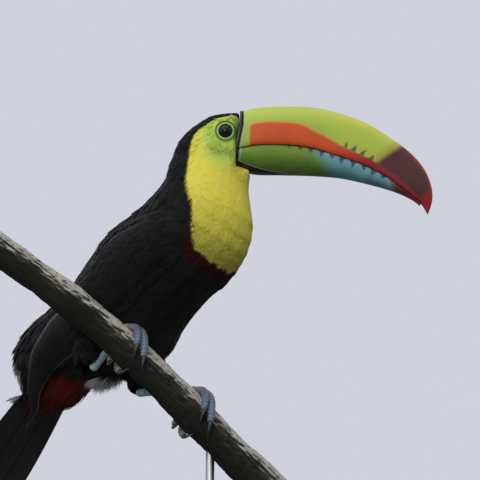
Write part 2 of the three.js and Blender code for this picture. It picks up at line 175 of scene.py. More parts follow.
def make_object(
    name: str, points: Array, faces: Sequence, marks: dict[str, Array] | None = None, outward: bool = True
) -> Piece:
    """Makes a smooth-shaded mesh object.

    Args:
        name: The object's name.
        points: Vertices in millimetres.
        faces: Vertex numbers of each face.
        marks: Values or vectors for each vertex, stored under their names.
        outward: Whether to turn the faces outwards.

    Returns:
        The object, linked to the scene.
    """
    mesh = bpy.data.meshes.new(name)
    mesh.from_pydata((np.asarray(points) * MM).tolist(), [], [tuple(face) for face in faces])
    for key, values in (marks or {}).items():
        store(mesh, key, values)
    if outward:
        shell = bmesh.new()
        shell.from_mesh(mesh)
        bmesh.ops.recalc_face_normals(shell, faces=shell.faces)
        shell.to_mesh(mesh)
        shell.free()
    mesh.shade_smooth()
    return add_object(name, mesh)


def store(mesh: Mesh, key: str, values: Array) -> None:
    """Stores a value or a vector on each vertex of a mesh under a name."""
    values = np.asarray(values, float)
    kind, slot = ("FLOAT_VECTOR", "vector") if values.ndim == 2 else ("FLOAT", "value")
    layer = mesh.attributes.new(key, kind, "POINT")
    layer.data.foreach_set(slot, values.ravel())


def vertices(mesh: Mesh) -> Array:
    """The mesh's vertices in millimetres."""
    flat = np.empty(len(mesh.vertices) * 3)
    mesh.vertices.foreach_get("co", flat)
    return flat.reshape(-1, 3) / MM


def normals(mesh: Mesh) -> Array:
    """The mesh's vertex normals."""
    flat = np.empty(len(mesh.vertices) * 3, dtype=np.float32)
    mesh.vertex_normals.foreach_get("vector", flat)
    return flat.reshape(-1, 3).astype(float)


def settle(source: Piece, name: str) -> Piece:
    """Turns an object with its modifiers into a plain mesh object of a new name."""
    graph = bpy.context.evaluated_depsgraph_get()
    evaluated = source.evaluated_get(graph)
    mesh = bpy.data.meshes.new_from_object(evaluated, preserve_all_data_layers=True, depsgraph=graph)
    bpy.data.objects.remove(source)
    mesh.name = name
    return add_object(name, mesh)


def run_tree(source: Piece, tree: bpy.types.NodeTree, values: dict[str, object], name: str) -> Piece:
    """Runs a Geometry Nodes tree with values for its named inputs on an object, which it replaces.

    Returns:
        The result as a plain mesh object.
    """
    modifier = source.modifiers.new("Tree", "NODES")
    modifier.node_group = tree
    for item in tree.interface.items_tree:
        if item.in_out == "INPUT" and item.name in values:
            modifier[item.identifier] = values[item.name]
    return settle(source, name)


def finish_piece(
    piece: Piece, slot: str, material: bpy.types.Material | None = None, replaced: Sequence[str] = ()
) -> None:
    """Dresses a finished piece and ties it to the frame.

    Args:
        piece: The piece, with its place in its mesh.
        slot: Name of a material slot; not used.
        material: Its material, if the mesh doesn't carry it yet.
        replaced: Nodes of the frame that it stands for.
    """
    if material is not None:
        piece.data.materials.clear()
        piece.data.materials.append(material)
    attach(piece, BODY_NAME)
    if replaced:
        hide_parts(*replaced)
    log.info("%s: %d faces", piece.name, len(piece.data.polygons))


# --- nodes as Python expressions


def operator(operation: str, turned: bool = False) -> Callable:
    """An operator that adds a Math node, with its sides the other way round if turned."""

    def work(self: "Wire", other: "Wire | float") -> "Wire":
        """Joins the two sides."""
        sides = (other, self) if turned else (self, other)
        return self.bench.math(operation, *sides)

    return work


def arrow_operator(operation: str) -> Callable:
    """An operator that adds a Vector Math node; one number counts all three ways."""

    def work(self: "Arrow", other: "Arrow | Sequence[float] | float") -> "Arrow":
        """Joins the two sides."""
        return self.bench.vector(operation, self, (other,) * 3 if isinstance(other, (int, float)) else other)

    return work


class Wire:
    """A node's output that Python's operators work on."""

    def __init__(self, bench: "Bench", socket: bpy.types.NodeSocket) -> None:
        """Wraps a socket of a bench's tree."""
        self.bench = bench
        self.socket = socket

    __add__ = __radd__ = operator("ADD")
    __sub__ = operator("SUBTRACT")
    __rsub__ = operator("SUBTRACT", turned=True)
    __mul__ = __rmul__ = operator("MULTIPLY")
    __truediv__ = operator("DIVIDE")
    __pow__ = operator("POWER")

    def step(self, low: float, high: float) -> "Wire":
        """A soft step from 0 at low to 1 at high; it falls if low is above high."""
        falls = low > high
        ends = {"From Min": min(low, high), "From Max": max(low, high)}
        ends |= {"To Min": 1.0 if falls else 0.0, "To Max": 0.0 if falls else 1.0}
        made = self.bench.node("ShaderNodeMapRange", {"Value": self, **ends}, interpolation_type="SMOOTHSTEP")
        return Wire(self.bench, made.outputs[0])

    def wave(self) -> "Wire":
        """The sine of the value."""
        return self.bench.math("SINE", self)

    def size(self) -> "Wire":
        """The value without its sign."""
        return self.bench.math("ABSOLUTE", self)


class Arrow(Wire):
    """A vector output: the operators add, subtract and scale it."""

    __add__ = arrow_operator("ADD")
    __sub__ = arrow_operator("SUBTRACT")
    __mul__ = arrow_operator("MULTIPLY")

    def part(self, axis: int) -> Wire:
        """One of the vector's three numbers."""
        return Wire(self.bench, self.bench.node("ShaderNodeSeparateXYZ", {0: self}).outputs[axis])

    def length(self) -> Wire:
        """The vector's length."""
        made = self.bench.node("ShaderNodeVectorMath", {0: self}, operation="LENGTH")
        return Wire(self.bench, made.outputs["Value"])


class Bench:
    """A node tree, with one way to add any node and short ways for the common ones."""

    def __init__(self, tree: bpy.types.NodeTree) -> None:
        """Works on a tree."""
        self.tree = tree

    def node(self, kind: str, sockets: dict | None = None, **settings: object) -> bpy.types.Node:
        """Adds a node.

        Args:
            kind: The node's type.
            sockets: Value or wire for each input, by its name or number.
            settings: The node's own settings, made before its inputs are set.

        Returns:
            The node.
        """
        made = self.tree.nodes.new(kind)
        for key, value in settings.items():
            setattr(made, key, value)
        for key, value in (sockets or {}).items():
            by_number = isinstance(key, int)
            slot = made.inputs[key] if by_number else next(
                each for each in made.inputs if each.name == key and each.enabled
            )
            if isinstance(value, Wire):
                self.tree.links.new(value.socket, slot)
            else:
                slot.default_value = value
        return made

    def wire(self, kind: str, sockets: dict | None = None, **settings: object) -> Wire:
        """Adds a node and wraps its first output in use."""
        made = self.node(kind, sockets, **settings)
        return Wire(self, next(each for each in made.outputs if each.enabled))

    def math(self, operation: str, *values: "Wire | float") -> Wire:
        """Adds a Math node."""
        return self.wire("ShaderNodeMath", dict(enumerate(values)), operation=operation)

    def vector(self, operation: str, *values: "Arrow | Sequence[float]") -> Arrow:
        """Adds a Vector Math node."""
        made = self.node("ShaderNodeVectorMath", dict(enumerate(values)), operation=operation)
        return Arrow(self, made.outputs[0])

    def join(self, x: "Wire | float", y: "Wire | float", z: "Wire | float") -> Arrow:
        """A vector from three numbers."""
        return Arrow(self, self.node("ShaderNodeCombineXYZ", {0: x, 1: y, 2: z}).outputs[0])

    def mark(self, name: str) -> Wire:
        """A value stored on the surface."""
        return Wire(self, self.node("ShaderNodeAttribute", attribute_name=name).outputs["Fac"])

    def mark_vector(self, name: str) -> Arrow:
        """A vector stored on the surface."""
        return Arrow(self, self.node("ShaderNodeAttribute", attribute_name=name).outputs["Vector"])

    def place(self) -> Arrow:
        """The place on the object, in metres."""
        return Arrow(self, self.node("ShaderNodeTexCoord").outputs["Object"])

    def noise(self, where: Arrow, scale: float, detail: float = 3, rough: float = 0.55) -> Wire:
        """Soft noise round 0.5, with scale patches to a unit."""
        sockets = {"Vector": where, "Scale": scale, "Detail": detail, "Roughness": rough}
        return self.wire("ShaderNodeTexNoise", sockets)

    def cells(self, where: Arrow, scale: float, feature: str = "F1") -> Wire:
        """Distance within a pattern of cells, with scale cells to a unit."""
        return self.wire("ShaderNodeTexVoronoi", {"Vector": where, "Scale": scale}, feature=feature)

    def ramp(self, value: Wire, stops: Sequence[tuple[float, Colour]]) -> Wire:
        """Colours along a value."""
        made = self.node("ShaderNodeValToRGB", {0: value})
        elements = made.color_ramp.elements
        while len(elements) < len(stops):
            elements.new(0.5)
        for element, (position, colour) in zip(elements, stops):
            element.position = position
            element.color = (*colour, 1)
        return Wire(self, made.outputs[0])

    def height(self, value: Wire, stops: Sequence[tuple[float, float]]) -> Wire:
        """A number along a value."""
        return self.wire("ShaderNodeSeparateColor", {0: self.ramp(value, [(at, (h,) * 3) for at, h in stops])})

    def blend(self, mask: "Wire | float", under: "Wire | Colour", over: "Wire | Colour") -> Wire:
        """One colour over another where the mask is 1."""
        under, over = ((*each, 1) if isinstance(each, tuple) else each for each in (under, over))
        sockets = {"Factor": mask, "A": under, "B": over}
        return self.wire("ShaderNodeMix", sockets, data_type="RGBA", clamp_factor=True)

    def layers(self, colour: "Wire | Colour", *coats: tuple["Wire | float", "Wire | Colour"]) -> Wire:
        """Colours laid over one another, each where the mask before it is 1."""
        for mask, over in coats:
            colour = self.blend(mask, colour, over)
        return colour

    def stored(self, name: str, kind: str = "FLOAT") -> Wire:
        """A value or a vector stored on the geometry."""
        return self.wire("GeometryNodeInputNamedAttribute", {"Name": name}, data_type=kind)

    def arrow(self, name: str) -> Arrow:
        """A vector stored on the geometry."""
        return Arrow(self, self.stored(name, "FLOAT_VECTOR").socket)

    def keep(self, geometry: Wire, name: str, value: Wire, kind: str = "FLOAT", domain: str = "POINT") -> Wire:
        """Stores a value on the geometry."""
        sockets = {"Geometry": geometry, "Name": name, "Value": value}
        return self.wire("GeometryNodeStoreNamedAttribute", sockets, data_type=kind, domain=domain)


def open_tree(name: str, kinds: dict[str, str]) -> tuple[Bench, dict[str, Wire]]:
    """Starts a Geometry Nodes tree with named inputs of these kinds; gives its bench and their wires."""
    tree = bpy.data.node_groups.new(name, "GeometryNodeTree")
    tree.interface.new_socket("Geometry", in_out="OUTPUT", socket_type="NodeSocketGeometry")
    for key, kind in kinds.items():
        tree.interface.new_socket(key, in_out="INPUT", socket_type=f"NodeSocket{kind}")
    bench = Bench(tree)
    start = bench.node("NodeGroupInput")
    return bench, {key: Wire(bench, start.outputs[key]) for key in kinds}


def close_tree(bench: Bench, geometry: Wire, finish: Wire) -> bpy.types.NodeTree:
    """Ends a Geometry Nodes tree with its material."""
    dressed = bench.wire("GeometryNodeSetMaterial", {"Geometry": geometry, "Material": finish})
    bench.node("NodeGroupOutput", {"Geometry": dressed})
    return bench.tree


# --- finishes


Painted = tuple[Wire, Wire | None, Wire | None]  # colour, roughness and height of the relief


def toned(colour: Colour, share: float) -> Colour:
    """A colour made lighter or darker."""
    return tuple(share * each for each in colour)


@dataclass(frozen=True)
class Finish:
    """A material: what is the same all over is a field, and what varies comes from paint()."""

    name: str
    roughness: float = 0.5
    metallic: float = 0.0
    specular: float = 0.5
    sheen: float = 0.0
    coat: float = 0.0
    relief: float = 0.0002

    def paint(self, bench: Bench) -> Painted:
        """The colour, the roughness or None, and the height of the relief or None."""
        raise NotImplementedError

    def make(self) -> bpy.types.Material:
        """Builds the material."""
        material = bpy.data.materials.new(self.name)
        material.use_nodes = True
        tree = material.node_tree
        tree.nodes.clear()
        bench = Bench(tree)
        colour, roughness, height = self.paint(bench)
        sockets = {
            "Base Color": colour, "Roughness": self.roughness if roughness is None else roughness,
            "Metallic": self.metallic, "Specular IOR Level": self.specular,
            "Sheen Weight": self.sheen, "Coat Weight": self.coat,
        }
        if height is not None:
            bump = {"Strength": 1.0, "Distance": self.relief, "Height": height}
            sockets["Normal"] = bench.wire("ShaderNodeBump", bump)
        surface = bench.wire("ShaderNodeBsdfPrincipled", sockets)
        bench.node("ShaderNodeOutputMaterial", {"Surface": surface})
        return material


@dataclass(frozen=True)
class Plumage(Finish):
    """Skin and small feathers, marked by the masks that the skin carries."""

    black: Colour = (0.0056, 0.0058, 0.0056)
    sheen_grey: Colour = (0.014, 0.0145, 0.0140)
    yellow: Colour = (0.78, 0.68, 0.085)
    # painted shade: the lower bib's yellow darkens to this olive; random tone also darkens single feathers
    # towards it
    olive: Colour = (0.34, 0.30, 0.04)
    lime: Colour = (0.52, 0.68, 0.11)
    # painted shade: the darker green of the face skin's shaded parts below and in front of the eye
    green: Colour = (0.17, 0.29, 0.04)
    maroon: Colour = (0.020, 0.0028, 0.0025)
    red: Colour = (0.105, 0.006, 0.005)
    white: Colour = (0.80, 0.78, 0.74)
    ring_pale: Colour = (0.42, 0.58, 0.24)
    ring_dark: Colour = (0.06, 0.17, 0.015)
    lash: Colour = (0.02, 0.045, 0.006)

    def paint(self, bench: Bench) -> Painted:
        """The markings, streaked along each vane and toned vane by vane, with painted shade on the lower bib and
        on the face skin round the eye's lower front.
        """
        place, mark, blend = bench.place(), bench.mark, bench.blend
        tone, ring = mark("tone"), mark("eye_ring")
        speck = bench.noise(place, 600)
        drift = bench.noise(place, 45, 2)
        grain = bench.cells(place, 1500)
        rim_dark = ring.step(4.2, 4.45) * ring.step(5.05, 4.75)
        rim_pale = ring.step(4.75, 5.05) * ring.step(6.0, 5.7)
        rim_outer = ring.step(5.75, 6.05) * ring.step(7.9, 6.6)
        colour = bench.layers(
            blend(drift.step(0.45, 0.75) * 0.35 + tone * 0.3, self.black, self.sheen_grey),
            (mark("yellow"), bench.layers(
                # painted shade: the shade mask darkens the lower bib's yellow to olive
                self.yellow, (mark("shade") + (drift - 0.5) * 0.25, self.olive), (tone * 0.12, self.olive)
            )),
            # painted shade: the green mask darkens the lime face skin below and in front of the eye
            (mark("lime") * mark("yellow"), blend(mark("green") * (0.7 + speck * 0.5), self.lime, self.green)),
            (mark("maroon"), self.maroon),
            (mark("red"), blend(tone * 0.5, self.red, toned(self.red, 2.2))),
            (mark("white"), self.white),
            (rim_outer * (0.75 + grain * 0.3), self.ring_dark),
            (rim_pale * (0.7 + speck * 0.5), self.ring_pale),
            (rim_dark, self.lash),
        )
        barbs = (bench.mark_vector("vane").part(0) * 70).wave() * 0.25
        wrinkle = bench.noise(place * (1, 1, 2.4), 700, 4)
        return colour, None, wrinkle + barbs + grain * mark("lime") * 0.5


@dataclass(frozen=True)
class Quill(Finish):
    """Large feathers of the wing and the tail."""

    dark: Colour = (0.0030, 0.0031, 0.0032)
    grey: Colour = (0.014, 0.0145, 0.0145)
    pale: Colour = (0.11, 0.115, 0.125)
    brown: Colour = (0.13, 0.115, 0.10)

    def paint(self, bench: Bench) -> Painted:
        """Grey-black vanes with painted grey sheen, fine barbs, a bare shaft and worn pale edges."""
        vane = bench.mark_vector("vane")
        across, along = vane.part(0), vane.part(1)
        from_shaft = (across - 0.5).size()
        place = bench.place()
        drift = bench.noise(place, 60, 3)
        barb = ((along * 340) + from_shaft * 90).wave()
        streak = bench.noise(bench.join(across * 3, along * 46 + from_shaft * 9, bench.mark("tone") * 9), 3, 4)
        shaft = from_shaft.step(0.035, 0.018)
        colour = bench.layers(
            self.dark,
            # painted sheen: grey patches and streaks over the black vanes
            (drift.step(0.35, 0.7) * 0.55 + streak * 0.4, self.grey),
            (barb.step(0.2, 1) * 0.12, self.grey),
            (from_shaft.step(0.455, 0.5) * bench.mark("edge") * streak.step(0.3, 0.6), self.pale),
            (bench.mark("worn") * (0.35 + along * 0.65), self.brown),
            (shaft * 0.7, self.dark),
        )
        return colour, 0.5 + streak * 0.16 - shaft * 0.2, barb * 0.35 + shaft * 2.2 + streak


@dataclass(frozen=True)
class Horn(Finish):
    """One half of the bill, marked by the share of its length and of its depth."""

    lower: bool = False
    lime: Colour = (0.40, 0.50, 0.060)
    gold: Colour = (0.66, 0.59, 0.08)
    moss: Colour = (0.14, 0.26, 0.018)
    deep: Colour = (0.065, 0.14, 0.02)
    orange: Colour = (0.62, 0.078, 0.005)
    blue: Colour = (0.14, 0.33, 0.37)
    teal: Colour = (0.012, 0.035, 0.036)
    maroon: Colour = (0.085, 0.024, 0.03)
    scarlet: Colour = (0.36, 0.014, 0.012)
    rim: Colour = (0.006, 0.006, 0.006)
    line: Colour = (0.36, 0.40, 0.37)
    bronze: Colour = (0.30, 0.17, 0.03)
    nick: Colour = (0.62, 0.5, 0.36)
    brown: Colour = (0.16, 0.06, 0.02)

    def paint(self, bench: Bench) -> Painted:
        """The bill's bright fields, with cloudy edges and dark teeth along the cutting edge."""
        place = bench.place()
        cloud = bench.noise(place, 110, 4) - 0.5
        fine = bench.noise(place * (1, 1, 0.25), 900, 4)
        along = bench.mark("along") + cloud * 0.012
        depth = bench.mark("depth") + cloud * 0.035
        paint = self.paint_lower if self.lower else self.paint_upper
        colour = paint(bench, along, depth, cloud)
        growth = bench.noise(place * (1, 0.2, 0.2), 260, 2)
        return colour, 0.33 + fine * 0.12, growth * 1.2 + fine * 0.35 + cloud * 2

    def teeth(self, bench: Bench, along: Wire, past: Wire, each: float, first: float, reach: Wire) -> Wire:
        """Dark tapering marks across the cutting edge.

        Args:
            bench: The material's bench.
            along: Share of the bill's length.
            past: Share of the depth beyond the edge that the marks stand on.
            each: Share of the length from one mark to the next.
            first: Share of the length at one of them.
            reach: How far they go.

        Returns:
            The mask of the marks.
        """
        wander = bench.noise(bench.join(along * 16, 0.0, 0.0), 1, 2) - 0.5
        turn = (along - first + wander * 0.02) * (2 * math.pi / each) + math.pi / 2
        size = bench.noise(bench.join(along * (0.9 / each), 4.0, 0.0), 1, 1).step(0.25, 0.6) * 0.5 + 0.6
        crest = (turn.wave() * 0.5 + 0.5) ** 1.3
        ragged = bench.noise(bench.place() * (1, 1, 0.4), 900, 3) - 0.5
        mark = crest * 0.9 - past / (reach * size) + ragged * 0.9
        return mark.step(0.0, 0.5) * past.step(-0.03, 0.0)

    def paint_upper(self, bench: Bench, along: Wire, depth: Wire, cloud: Wire) -> Wire:
        """Lime upper half with an orange cheek and a maroon tip."""
        top = bench.height(
            along,
            [(0.0, 0.5), (0.05, 0.52), (0.07, 0.55), (0.11, 0.545), (0.226, 0.537), (0.26, 0.51),
             (0.294, 0.466), (0.349, 0.378), (0.412, 0.315), (0.468, 0.245), (0.54, 0.207),
             (0.62, 0.195), (0.68, 0.17), (0.78, 0.15), (1.0, 0.12)],
        )
        past = depth - top
        slant = along - depth * 0.02
        freckle = bench.noise(bench.place(), 1500, 3)
        beat = bench.cells(bench.join(along * 26, 0.0, 0.0), 1)
        marks = self.teeth(bench, along, past, 0.044, 0.494, bench.height(along, [(0, 0.17), (1, 0.24)]))
        orange = bench.layers(
            self.orange,
            (cloud * 0.9 + 0.2, toned(self.orange, 0.6)),
            (past.step(-0.07, 0.0) * 0.35, self.gold),
            (along.step(0.42, 0.6) * 0.75, self.scarlet),
        )
        edge = depth.step(0.86, 0.97) + (along + depth * 0.05).step(0.90, 0.99)
        wine = bench.layers(
            self.maroon,
            (freckle.step(0.5, 0.68) * along.step(0.7, 0.8) * 0.5, self.deep),
            (edge * along.step(0.69, 0.76), self.scarlet),
        )
        return bench.layers(
            self.lime,
            (depth.step(0.7, 1.0) * along.step(0.22, 0.42) * (0.7 + cloud), self.gold),
            (depth.step(0.75, 0.45) * along.step(0.5, 0.3) * 0.3, self.moss),
            (marks * along.step(0.47, 0.50) * along.step(0.68, 0.65) * 0.8, self.teal),
            (past.step(0.014, -0.014) * (along + depth * 0.034).step(0.055, 0.064), orange),
            (slant.step(0.61, 0.65) * past.step(0.0, 0.06) * 0.45, self.bronze),
            (slant.step(0.645, 0.675), wine),
            (past.step(0.04, -0.02) * along.step(0.56, 0.65) * 0.9,
             bench.blend(freckle.step(0.4, 0.7), self.scarlet, self.maroon)),
            (beat.step(0.16, 0.04) * depth.step(0.075, 0.03) * along.step(0.05, 0.09) * 0.75, self.nick),
            (depth.step(0.03, 0.0) * 0.8, self.teal),
            (along.step(0.009, 0.012) * along.step(0.021, 0.014) * 0.45, self.line),
            (along.step(0.011, 0.008), self.rim),
        )

    def paint_lower(self, bench: Bench, along: Wire, depth: Wire, cloud: Wire) -> Wire:
        """Mossy lower half that turns blue, then wine red at the tip."""
        green = bench.blend(depth.step(0.2, 0.95) + cloud, self.moss, self.deep)
        blue = bench.blend(depth.step(0.4, 1.0) * 0.6 + cloud * 1.6, self.blue, toned(self.blue, 0.4))
        reach = bench.height(along, [(0.2, 0.16), (0.35, 0.26), (0.5, 0.42), (0.62, 0.55), (0.8, 0.8)])
        marks = self.teeth(bench, along, depth, 0.0555, 0.3761, reach)
        tip = (along - depth * 0.03 + cloud * 0.06).step(0.78, 0.84)
        wedge = bench.height(
            along, [(0.0, 0.66), (0.02, 0.711), (0.05, 0.774), (0.099, 0.827), (0.141, 0.89), (0.185, 0.935),
                    (0.265, 0.99), (0.32, 1.0), (1.0, 1.0)]
        )
        past = depth - wedge
        fades = along.step(0.30, 0.22)
        edge = along.step(0.014, 0.018) * along.step(0.03, 0.021)
        return bench.layers(
            green,
            ((along - depth * 0.12 + cloud * 0.1).step(0.33, 0.47), blue),
            (marks * along.step(0.2, 0.3) * along.step(0.84, 0.78) * 0.85, self.teal),
            (tip, bench.blend(along.step(0.8, 0.9), self.brown, self.maroon)),
            (along.step(0.86, 0.99) * 0.7, self.scarlet),
            (depth.step(0.06, 0.0) * 0.8, self.teal),
            (past.step(-0.05, -0.025) * fades * 0.55, self.line),
            (past.step(-0.022, 0.0) * fades, self.rim),
            (edge * past.step(0.0, -0.03) * 0.5, self.line),
            (along.step(0.017, 0.013), self.rim),
        )


@dataclass(frozen=True)
class Plain(Finish):
    """One colour with a slow drift and fine relief."""

    colour: Colour = (0.5, 0.5, 0.5)
    second: Colour = (0.4, 0.4, 0.4)
    scale: float = 300.0
    stretch: Colour = (1, 1, 1)

    def paint(self, bench: Bench) -> Painted:
        """Two tones mixed by noise."""
        grain = bench.noise(bench.place() * self.stretch, self.scale, 5)
        return bench.blend(grain.step(0.35, 0.65), self.colour, self.second), None, grain


@dataclass(frozen=True)
class Eye(Finish):
    """The eyeball: a black pupil in a dark brown iris."""

    pupil: Colour = (0.002, 0.002, 0.002)
    iris: Colour = (0.010, 0.009, 0.006)

    def paint(self, bench: Bench) -> Painted:
        """Rings round the eye's own axis."""
        out = bench.mark("out")
        speck = bench.noise(bench.place(), 1500, 3)
        ring = out.step(0.36, 0.42) * out.step(0.85, 0.75)
        return bench.blend(ring * (0.6 + speck * 0.6), self.pupil, self.iris), None, None


@dataclass(frozen=True)
class Scale(Finish):
    """Scaled skin of the toes and the tarsus."""

    blue: Colour = (0.12, 0.16, 0.22)
    pale: Colour = (0.24, 0.24, 0.21)
    teal: Colour = (0.30, 0.44, 0.48)
    dark: Colour = (0.022, 0.028, 0.042)

    def paint(self, bench: Bench) -> Painted:
        """Pale blue plates, darker in the seams between them and paler near the claws' side."""
        place = bench.place()
        cloud = bench.noise(place, 240, 3)
        colour = bench.layers(
            self.blue,
            (bench.mark("pale") * 0.8 + (cloud - 0.5) * 1.4, self.pale),
            (bench.mark("shank"), self.teal),
            (bench.mark("seam").step(0.25, 0.85) * 0.85, self.dark),
            (cloud.step(0.5, 0.7) * 0.45, self.dark),
        )
        pads = bench.cells(place, 1100)
        return colour, 0.45 + cloud * 0.15, pads * bench.mark("sole") * 3 + bench.noise(place, 1500, 3) * 0.4


@dataclass(frozen=True)
class Bark(Finish):
    """Weathered bark: pale lichen and a painted lit top above, mossy grey-brown with painted shade beneath, with
    pale wood at the cut ends.
    """

    brown: Colour = (0.022, 0.0195, 0.012)
    grey: Colour = (0.060, 0.055, 0.040)
    lichen: Colour = (0.50, 0.475, 0.40)
    moss: Colour = (0.020, 0.022, 0.010)
    damp: Colour = (0.010, 0.010, 0.007)
    wood: Colour = (0.36, 0.25, 0.14)
    ends: tuple = ()  # middles of the sawn faces, in millimetres

    def paint(self, bench: Bench) -> Painted:
        """Patches on stretched noise; painted light: a pale top and a shaded underside from the facing, and
        painted shade in the cracks from the relief's own heights.
        """
        place = bench.place()
        along = bench.mark_vector("bark")
        patches = bench.noise(place, 55, 5, 0.62)
        crust = bench.noise(place, 320, 5, 0.65)
        grain = bench.noise(along * (10, 1.0, 1), 30, 5, 0.6)
        high = bench.mark("relief")
        normal = Arrow(bench, bench.node("ShaderNodeNewGeometry").outputs["Normal"])
        # how far the bark faces up: it places the painted lit top and the painted shade underneath
        upward = normal.part(2) + (patches - 0.5) * 0.4
        out = [(place - tuple(MM * float(each) for each in end)).length() for end in self.ends]
        rings = (bench.math("MINIMUM", *out) * 4200 + crust * 3).wave()
        colour = bench.layers(
            self.brown,
            (patches.step(0.38, 0.62), self.grey),
            (grain.step(0.5, 0.7) * 0.5, self.brown),
            (patches.step(0.55, 0.35) * crust.step(0.5, 0.6) * 0.7, self.moss),
            # painted light: pale lichen patches, laid where the bark faces up, lighten the branch's top
            ((upward + high * 0.15).step(0.34, 0.62) * crust.step(0.32, 0.48) * 0.95, self.lichen),
            # painted shade: the relief's low parts, the cracks, darkened to brown
            (high.step(-0.25, -0.6) * 0.55, self.brown),
            # painted shade: the bark that faces down, under the branch, darkened
            (upward.step(0.42, 0.0) * 0.88, self.damp),
            (bench.mark("cut"), bench.blend(rings.step(-0.2, 0.9) * 0.6, self.wood, toned(self.wood, 0.6))),
        )
        return colour, None, crust * 1.6 + grain + patches


@dataclass(frozen=True)
class Wood(Finish):
    """Dark stained, varnished hardwood with its grain along X."""

    dark: Colour = (0.022, 0.011, 0.006)
    warm: Colour = (0.085, 0.04, 0.019)

    def paint(self, bench: Bench) -> Painted:
        """Long figure with fine pores."""
        place = bench.place()
        figure = bench.noise(place * (1.3, 9, 9), 9, 5, 0.6)
        pores = bench.noise(place * (1, 22, 22), 60, 3, 0.6)
        colour = bench.layers(
            self.dark,
            ((figure * 7).wave().step(-0.8, 0.9), self.warm),
            (pores.step(0.6, 0.72) * 0.7, self.dark),
        )
        return colour, 0.3 + pores * 0.15, pores * 0.4


# --- the body's plan


BODY_ROWS = (
    # x, y, z, heading, pitch, half depth, half width
    (-71, 107, 160, 43, 50, 11, 18),  # tail coverts
    (-67, 102, 164, 42, 54, 19, 20),
    (-65, 100.4, 170.6, 42, 57, 27, 24),
    (-61.4, 97.1, 178.2, 42, 55, 33.5, 28),  # rump
    (-54.8, 92, 187.2, 42, 55, 36.5, 31.5),
    (-43, 81.5, 194.5, 42, 53, 40, 34.5),  # vent
    (-27, 67, 201, 42, 51, 43.5, 37),
    (-10, 54, 212, 42, 50, 47, 38),  # belly
    (4, 42, 231, 41, 47, 45, 38),
    (19, 28, 247.5, 40, 48, 45, 38),
    (34, 14, 257, 36, 50, 44, 37),  # breast and shoulders
    (44, 4, 266, 28, 50, 41, 34.5),
    (50, -2, 274, 18, 52, 39, 32),
    (54, -5, 284, 10, 58, 36, 29),  # root of the neck
    (54, -6, 293, 4, 65, 32, 26),
    (54, -6, 303, 0, 70, 29, 23),
    (56, -6, 310, 0, 71, 28, 21),  # nape and throat
    (58, -6, 315, 0, 66, 28, 20),
    (61, -6, 319, 0, 56, 27, 19),
    (65, -6, 322.5, 0, 46, 25.5, 19),  # crown
    (68.5, -6, 325.5, 0, 32, 23.5, 18.5),
    (72, -6, 327, 0, 18, 21, 17),
    (75.3, -6, 328.4, 0, 0, 19.5, 15.5),  # face
)


def axes(heading: Array, pitch: Array) -> tuple[Array, Array, Array]:
    """Axes of a part that faces a heading (degrees to the right of +X) and a pitch (above level).

    Returns:
        Its right, the way it faces and its underside.
    """
    turn, rise = np.radians(heading), np.radians(pitch)
    right = np.stack([-np.sin(turn), -np.cos(turn), 0 * turn], -1)
    level = np.cos(rise)
    ahead = np.stack([level * np.cos(turn), -level * np.sin(turn), np.sin(rise)], -1)
    return right, ahead, -np.cross(right, ahead)


TAIL_AXES = axes(np.array(44.0), np.array(41.0))


class Body:
    """The body as a row of elliptical sections, by which places on it are named."""

    def __init__(self) -> None:
        """Samples the sections densely."""
        self.last = len(BODY_ROWS) - 1
        self.places = np.linspace(0, self.last, 8 * self.last + 1)
        self.middles, self.right, self.ahead, self.down, self.depth, self.width = self.read(self.places)

    def read(self, place: Array) -> tuple[Array, Array, Array, Array, Array, Array]:
        """Reads sections at places along the rows; below 0 they run on along the tail.

        Returns:
            Middles, right, ahead, underside, half depths and half widths.
        """
        tail_row = 10.0
        rows = between(BODY_ROWS, np.maximum(place, 0))
        past = np.minimum(place, 0)[..., None] * tail_row
        middles = rows[..., :3] + PERCHED + past * TAIL_AXES[1]
        right, ahead, down = axes(rows[..., 3], rows[..., 4])
        return middles, right, ahead, down, rows[..., 5], rows[..., 6]

    def locate(self, points: Array) -> tuple[Array, Array, Array]:
        """Names the places on the body of points near its surface.

        Returns:
            The place along the rows, the angle round from the underside (degrees, the right side
            positive) and the distance out, 1 on the surface.
        """
        place, angle, out = (np.empty(len(points)) for _ in range(3))
        distance_weight = 0.15
        for chunk in np.array_split(np.arange(len(points)), max(1, len(points) // 4000)):
            from_middle = points[chunk, None] - self.middles
            slip = np.abs((from_middle * self.ahead).sum(-1))
            best = np.argmin(slip + distance_weight * np.linalg.norm(from_middle, axis=-1), axis=1)
            offset = from_middle[np.arange(len(chunk)), best]
            side = (offset * self.right[best]).sum(-1) / self.width[best]
            under = (offset * self.down[best]).sum(-1) / self.depth[best]
            place[chunk] = self.places[best]
            angle[chunk] = np.degrees(np.arctan2(side, under))
            out[chunk] = np.hypot(side, under)
        return place, angle, out


